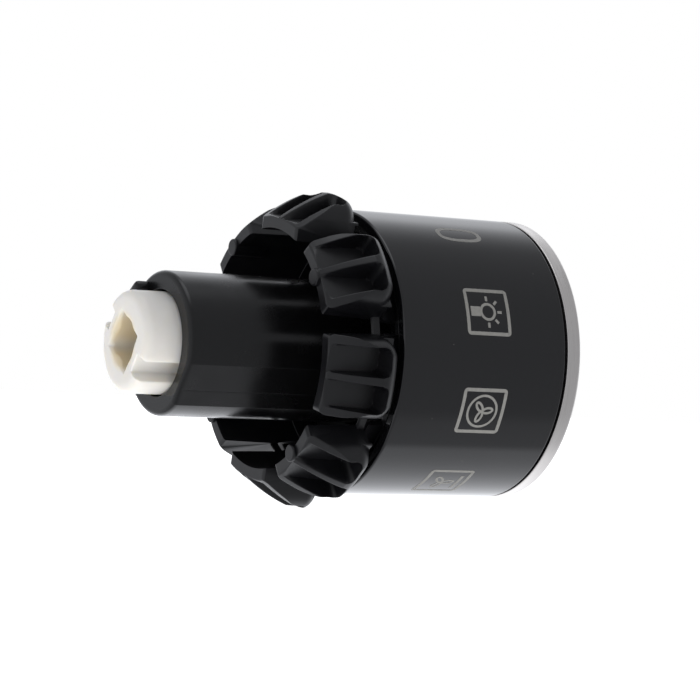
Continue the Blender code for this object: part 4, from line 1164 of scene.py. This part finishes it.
plate_rows = [
    (PLATE_RADIUS, PLATE_FRONT), (PLATE_RADIUS, PLATE_REAR), (SLEEVE_RADIUS + SLEEVE_EDGE, PLATE_REAR),
    (SLEEVE_RADIUS, PLATE_REAR + SLEEVE_EDGE), (SLEEVE_RADIUS, SLEEVE_REAR - SLEEVE_EDGE),
    (SLEEVE_RADIUS - SLEEVE_EDGE, SLEEVE_REAR),
]
plate_rows = [round_axis(r * MM, y * MM, tube_angles) for r, y in plate_rows]
hole = tube_section(-RUNNING)
plate_rows += [round_axis(hole, y * MM, tube_angles) for y in (SLEEVE_REAR, PLATE_FRONT)]
plate_rows = np.stack(plate_rows)
plate_mesh = clean_mesh("plate", plate_rows, grid_faces(*plate_rows.shape[:2]))
seat("guide_sleeve", plate_mesh, polyamide, "knob", "black_polyamide", "guide_plate")
keeper_profile = in_mm([
    (KEEPER_BORE, KEEPER_FRONT, 0.1), (PLATE_RADIUS, KEEPER_FRONT, 0.1),
    (PLATE_RADIUS, KEEPER_REAR, 0.1), (KEEPER_BORE, KEEPER_REAR, 0.1),
])
keeper_mesh = turned("keeper", keeper_profile)
seat("keeper_ring", keeper_mesh, polyamide, "knob", "black_polyamide", "retaining_ring")

# %% [markdown]
# ## Spring steel
# The return spring, the latch and the clip are drawn or rolled spring steel, oiled and slightly
# grey. The eye sees a bright metal with fine lines from the die, so the roughness wavers.

# %% Make the spring steel
DIE_LINE = 0.15 * MM

spring_steel, tree, shader = new_finish("drawn_spring_steel", Metallic=1.0)
place = add_node(tree, "ShaderNodeTexCoord").outputs["Object"]
drawn = {"Vector": place, "Scale": grain(DIE_LINE), "Detail": 3.0}
drawn = add_node(tree, "ShaderNodeTexNoise", drawn)
vary(tree, shader, drawn.outputs["Fac"], ("#a9a8a6", "#c3c2c0"), (0.2, 0.34))
print("material:", spring_steel.name)

# %% [markdown]
# ## The return spring
# A coil follows a path by rule, so Geometry Nodes make it: a spiral curve, a round wire along it,
# and a turn that lays the coil along the knob's axis. When the tube is pushed in, the real spring
# shortens; here the coil is wound evenly at one length.

# %% Wind the spring
SPRING_FRONT = -27.8 * MM
SPRING_REAR = 7.1 * MM
WIRE_RADIUS = 0.45 * MM
COIL_RADIUS = 5.9 * MM
COIL_TURNS = 10.0
COIL_STEPS = 28
WIRE_STEPS = 10

coil_tree, given = new_tree(
    "coil", ("Turns", "NodeSocketFloat"), ("Coil", "NodeSocketFloat"), ("Wire", "NodeSocketFloat"),
    ("Height", "NodeSocketFloat"), ("Start", "NodeSocketVector"), ("Finish", "NodeSocketMaterial"),
)
spiral = {"Resolution": COIL_STEPS, "Rotations": given["Turns"], "Start Radius": given["Coil"]}
spiral.update({"End Radius": given["Coil"], "Height": given["Height"]})
spiral = add_node(coil_tree, "GeometryNodeCurveSpiral", spiral)
wire = {"Resolution": WIRE_STEPS, "Radius": given["Wire"]}
wire = add_node(coil_tree, "GeometryNodeCurvePrimitiveCircle", wire)
coil = {"Curve": spiral.outputs[0], "Profile Curve": wire.outputs[0], "Fill Caps": True}
coil = add_node(coil_tree, "GeometryNodeCurveToMesh", coil)
laid = {"Geometry": coil.outputs[0], "Translation": given["Start"], "Rotation": (-pi / 2, 0.0, 0.0)}
laid = add_node(coil_tree, "GeometryNodeTransform", laid)
whole = add_node(coil_tree, "GeometryNodeRealizeInstances", {0: laid.outputs[0]})
painted = {0: whole.outputs[0], "Material": given["Finish"]}
painted = add_node(coil_tree, "GeometryNodeSetMaterial", painted)
add_node(coil_tree, "NodeGroupOutput", {0: painted.outputs[0]})
coil_height = SPRING_REAR - SPRING_FRONT - 2 * WIRE_RADIUS
coil_mesh = grow(
    "coil", bpy.data.meshes.new("coil"), coil_tree,
    Turns=COIL_TURNS, Coil=COIL_RADIUS, Wire=WIRE_RADIUS, Height=coil_height,
    Start=(0.0, SPRING_FRONT + WIRE_RADIUS, 0.0), Finish=spring_steel,
)
spring = seat("spring_coil", coil_mesh, spring_steel, "knob", "spring_steel", "return_spring")
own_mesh(spring)

# %% [markdown]
# ## Pieces that stay as CAD nodes
# The carrier, the latch and the small parts lie inside the barrel. Their CAD shapes are right as
# they are, so they only get finishes. Two more materials are needed: a soft rubber for the ring
# that quiets the tube, dull with a powdery bloom, and the milky adhesive under the steel face.

# %% Dress the inner CAD nodes
POWDER = 0.6 * MM


def powdery(name, ior, colours, roughness):
    """A dull finish whose colour and roughness waver together over grains of powder."""
    made, tree, shader = new_finish(name, IOR=ior)
    place = add_node(tree, "ShaderNodeTexCoord").outputs["Object"]
    noise = {"Vector": place, "Scale": grain(POWDER), "Detail": 3.0}
    noise = add_node(tree, "ShaderNodeTexNoise", noise)
    vary(tree, shader, noise.outputs["Fac"], colours, roughness, span=(0.0, 1.0))
    return made


rubber = powdery("moulded_nitrile_rubber", 1.52, ("#232322", "#2e2e2d"), (0.7, 0.9))
film = powdery("acrylic_adhesive_film", 1.47, ("#c9c3b2", "#d8d3c4"), (0.5, 0.7))
dressed = {"front_carrier": polyamide, "buffer_ring": rubber, "bond_disc": film}
for node in ("latch_leaf", "leaf_screw", "latch_pin", "spring_washer", "spindle_clip"):
    dressed[node] = spring_steel
for node, finish in dressed.items():
    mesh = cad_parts[node].data
    mesh.materials.clear()
    mesh.materials.append(finish)
print("dressed CAD nodes:", len(dressed))

# %% [markdown]
# ## Floor and light
# The photograph shows the knob against pure white, lit by a white surround behind it and a dimmer
# room in front. That is why the glossy barrel is dark in the middle and light along its top and
# bottom edges. The surround is a world whose brightness depends on the direction. The camera itself
# sees plain white. The floor is a sheet of white card on a light table; it is kept out of the
# reflections, because the surround already has the table's edge.

# %% Set the surround
FRONT_LIGHT = 0.48
BACKDROP_WAY = (0.75, -0.66, 0.0)
BACKDROP_CURVE = 2.1
BACKDROP_LIGHT = 1.9

world = bpy.data.worlds.new("surround")
scene.world = world
world.use_nodes = True
tree = world.node_tree
tree.nodes.clear()
way = add_node(tree, "ShaderNodeTexCoord").outputs["Generated"]
axes = add_node(tree, "ShaderNodeSeparateXYZ", {0: way}).outputs
facing = add_node(tree, "ShaderNodeVectorMath", {0: way, 1: BACKDROP_WAY}, operation="DOT_PRODUCT")
facing = facing.outputs["Value"]
# Each change of brightness: what it follows, the places it runs between, its values there, its curve.
changes = {
    "backdrop": (facing, 0.42, 1.0, 0.0, 1.0, "LINEAR"),
    "backdrop_core": (facing, 0.8, 0.97, 1.0, 0.25, "SMOOTHSTEP"),
    "table_near": (axes["X"], -0.62, -0.45, 0.0, 0.15, "SMOOTHSTEP"),
    "table_middle": (axes["X"], -0.22, -0.1, 0.0, 0.5, "SMOOTHSTEP"),
    "table_far": (axes["X"], -0.1, 0.8, 0.0, 0.6, "SMOOTHSTEP"),
    "table_rear": (axes["Y"], -0.1, 0.3, 1.0, 0.1, "SMOOTHSTEP"),
    "upper_half": (axes["Z"], -0.05, 0.05, 0.0, 1.0, "SMOOTHSTEP"),
    "rear_fill": (axes["Y"], 0.3, 0.9, 0.0, 0.3, "SMOOTHSTEP"),
    "overhead": (axes["Z"], 0.88, 0.97, 0.0, 1.2, "SMOOTHSTEP"),
}
light = {}
for name, (value, start, end, first, last, curve) in changes.items():
    inputs = {"Value": value, "From Min": start, "From Max": end, "To Min": first, "To Max": last}
    change = add_node(tree, "ShaderNodeMapRange", inputs, interpolation_type=curve)
    light[name] = change.outputs["Result"]
print("changes of brightness:", len(light))

# %% [markdown]
# The changes are multiplied and added to one brightness: the backdrop above the horizon, the table
# below it, then a fill from the rear, a lamp overhead and the dim room in front.

# %% Add up the light
# Each sum: the name of its result, what it does, and its two terms.
sums = [
    ("backdrop", "POWER", "backdrop", BACKDROP_CURVE),
    ("backdrop", "MULTIPLY", "backdrop", BACKDROP_LIGHT),
    ("backdrop", "MULTIPLY", "backdrop", "backdrop_core"),
    ("table", "ADD", "table_near", "table_middle"),
    ("table", "ADD", "table", "table_far"),
    ("table", "MULTIPLY", "table", "table_rear"),
]
for name, operation, first, second in sums:
    terms = {0: light[first], 1: light.get(second, second)}
    light[name] = add_node(tree, "ShaderNodeMath", terms, operation=operation).outputs[0]
halves = {0: light["upper_half"], 2: light["table"], 3: light["backdrop"]}
glow = add_node(tree, "ShaderNodeMix", halves).outputs[0]
for term in (light["rear_fill"], light["overhead"], FRONT_LIGHT):
    glow = add_node(tree, "ShaderNodeMath", {0: glow, 1: term}, operation="ADD").outputs[0]
seen = add_node(tree, "ShaderNodeBackground", {"Color": linear("#ffffff"), "Strength": 1.0})
lit = add_node(tree, "ShaderNodeBackground", {"Color": linear("#f8faff"), "Strength": glow})
direct = add_node(tree, "ShaderNodeLightPath").outputs["Is Camera Ray"]
mixed = add_node(tree, "ShaderNodeMixShader", {0: direct, 1: lit.outputs[0], 2: seen.outputs[0]})
add_node(tree, "ShaderNodeOutputWorld", {0: mixed.outputs[0]})
scene.view_settings.view_transform = "Standard"
print("surround nodes:", len(tree.nodes))

# %% [markdown]
# The floor is a disc just under the knob. It glows, as card on a light table does, so that it is as
# white as the surround and no horizon shows.

# %% Lay the floor
FLOOR_GAP = 0.05 * MM
FLOOR_Z = cad_low.z - FLOOR_GAP
FLOOR_RADIUS = 700 * MM
FLOOR_SIDES = 96

card, tree, shader = new_finish(
    "white_card", Base_Color=linear("#f4f4f3"), Roughness=0.9,
    Emission_Color=linear("#ffffff"), Emission_Strength=0.95,
)
angles = np.arange(FLOOR_SIDES) * tau / FLOOR_SIDES
height = np.full(FLOOR_SIDES, FLOOR_Z)
disc = np.stack([FLOOR_RADIUS * np.cos(angles), FLOOR_RADIUS * np.sin(angles), height], -1)
floor_mesh = bpy.data.meshes.new("floor")
floor_mesh.from_pydata(disc.tolist(), [], [list(range(FLOOR_SIDES))])
floor_mesh.materials.append(card)
floor = link_object("floor", floor_mesh)
floor.visible_glossy = False
print("floor at mm:", round(FLOOR_Z / MM, 2))
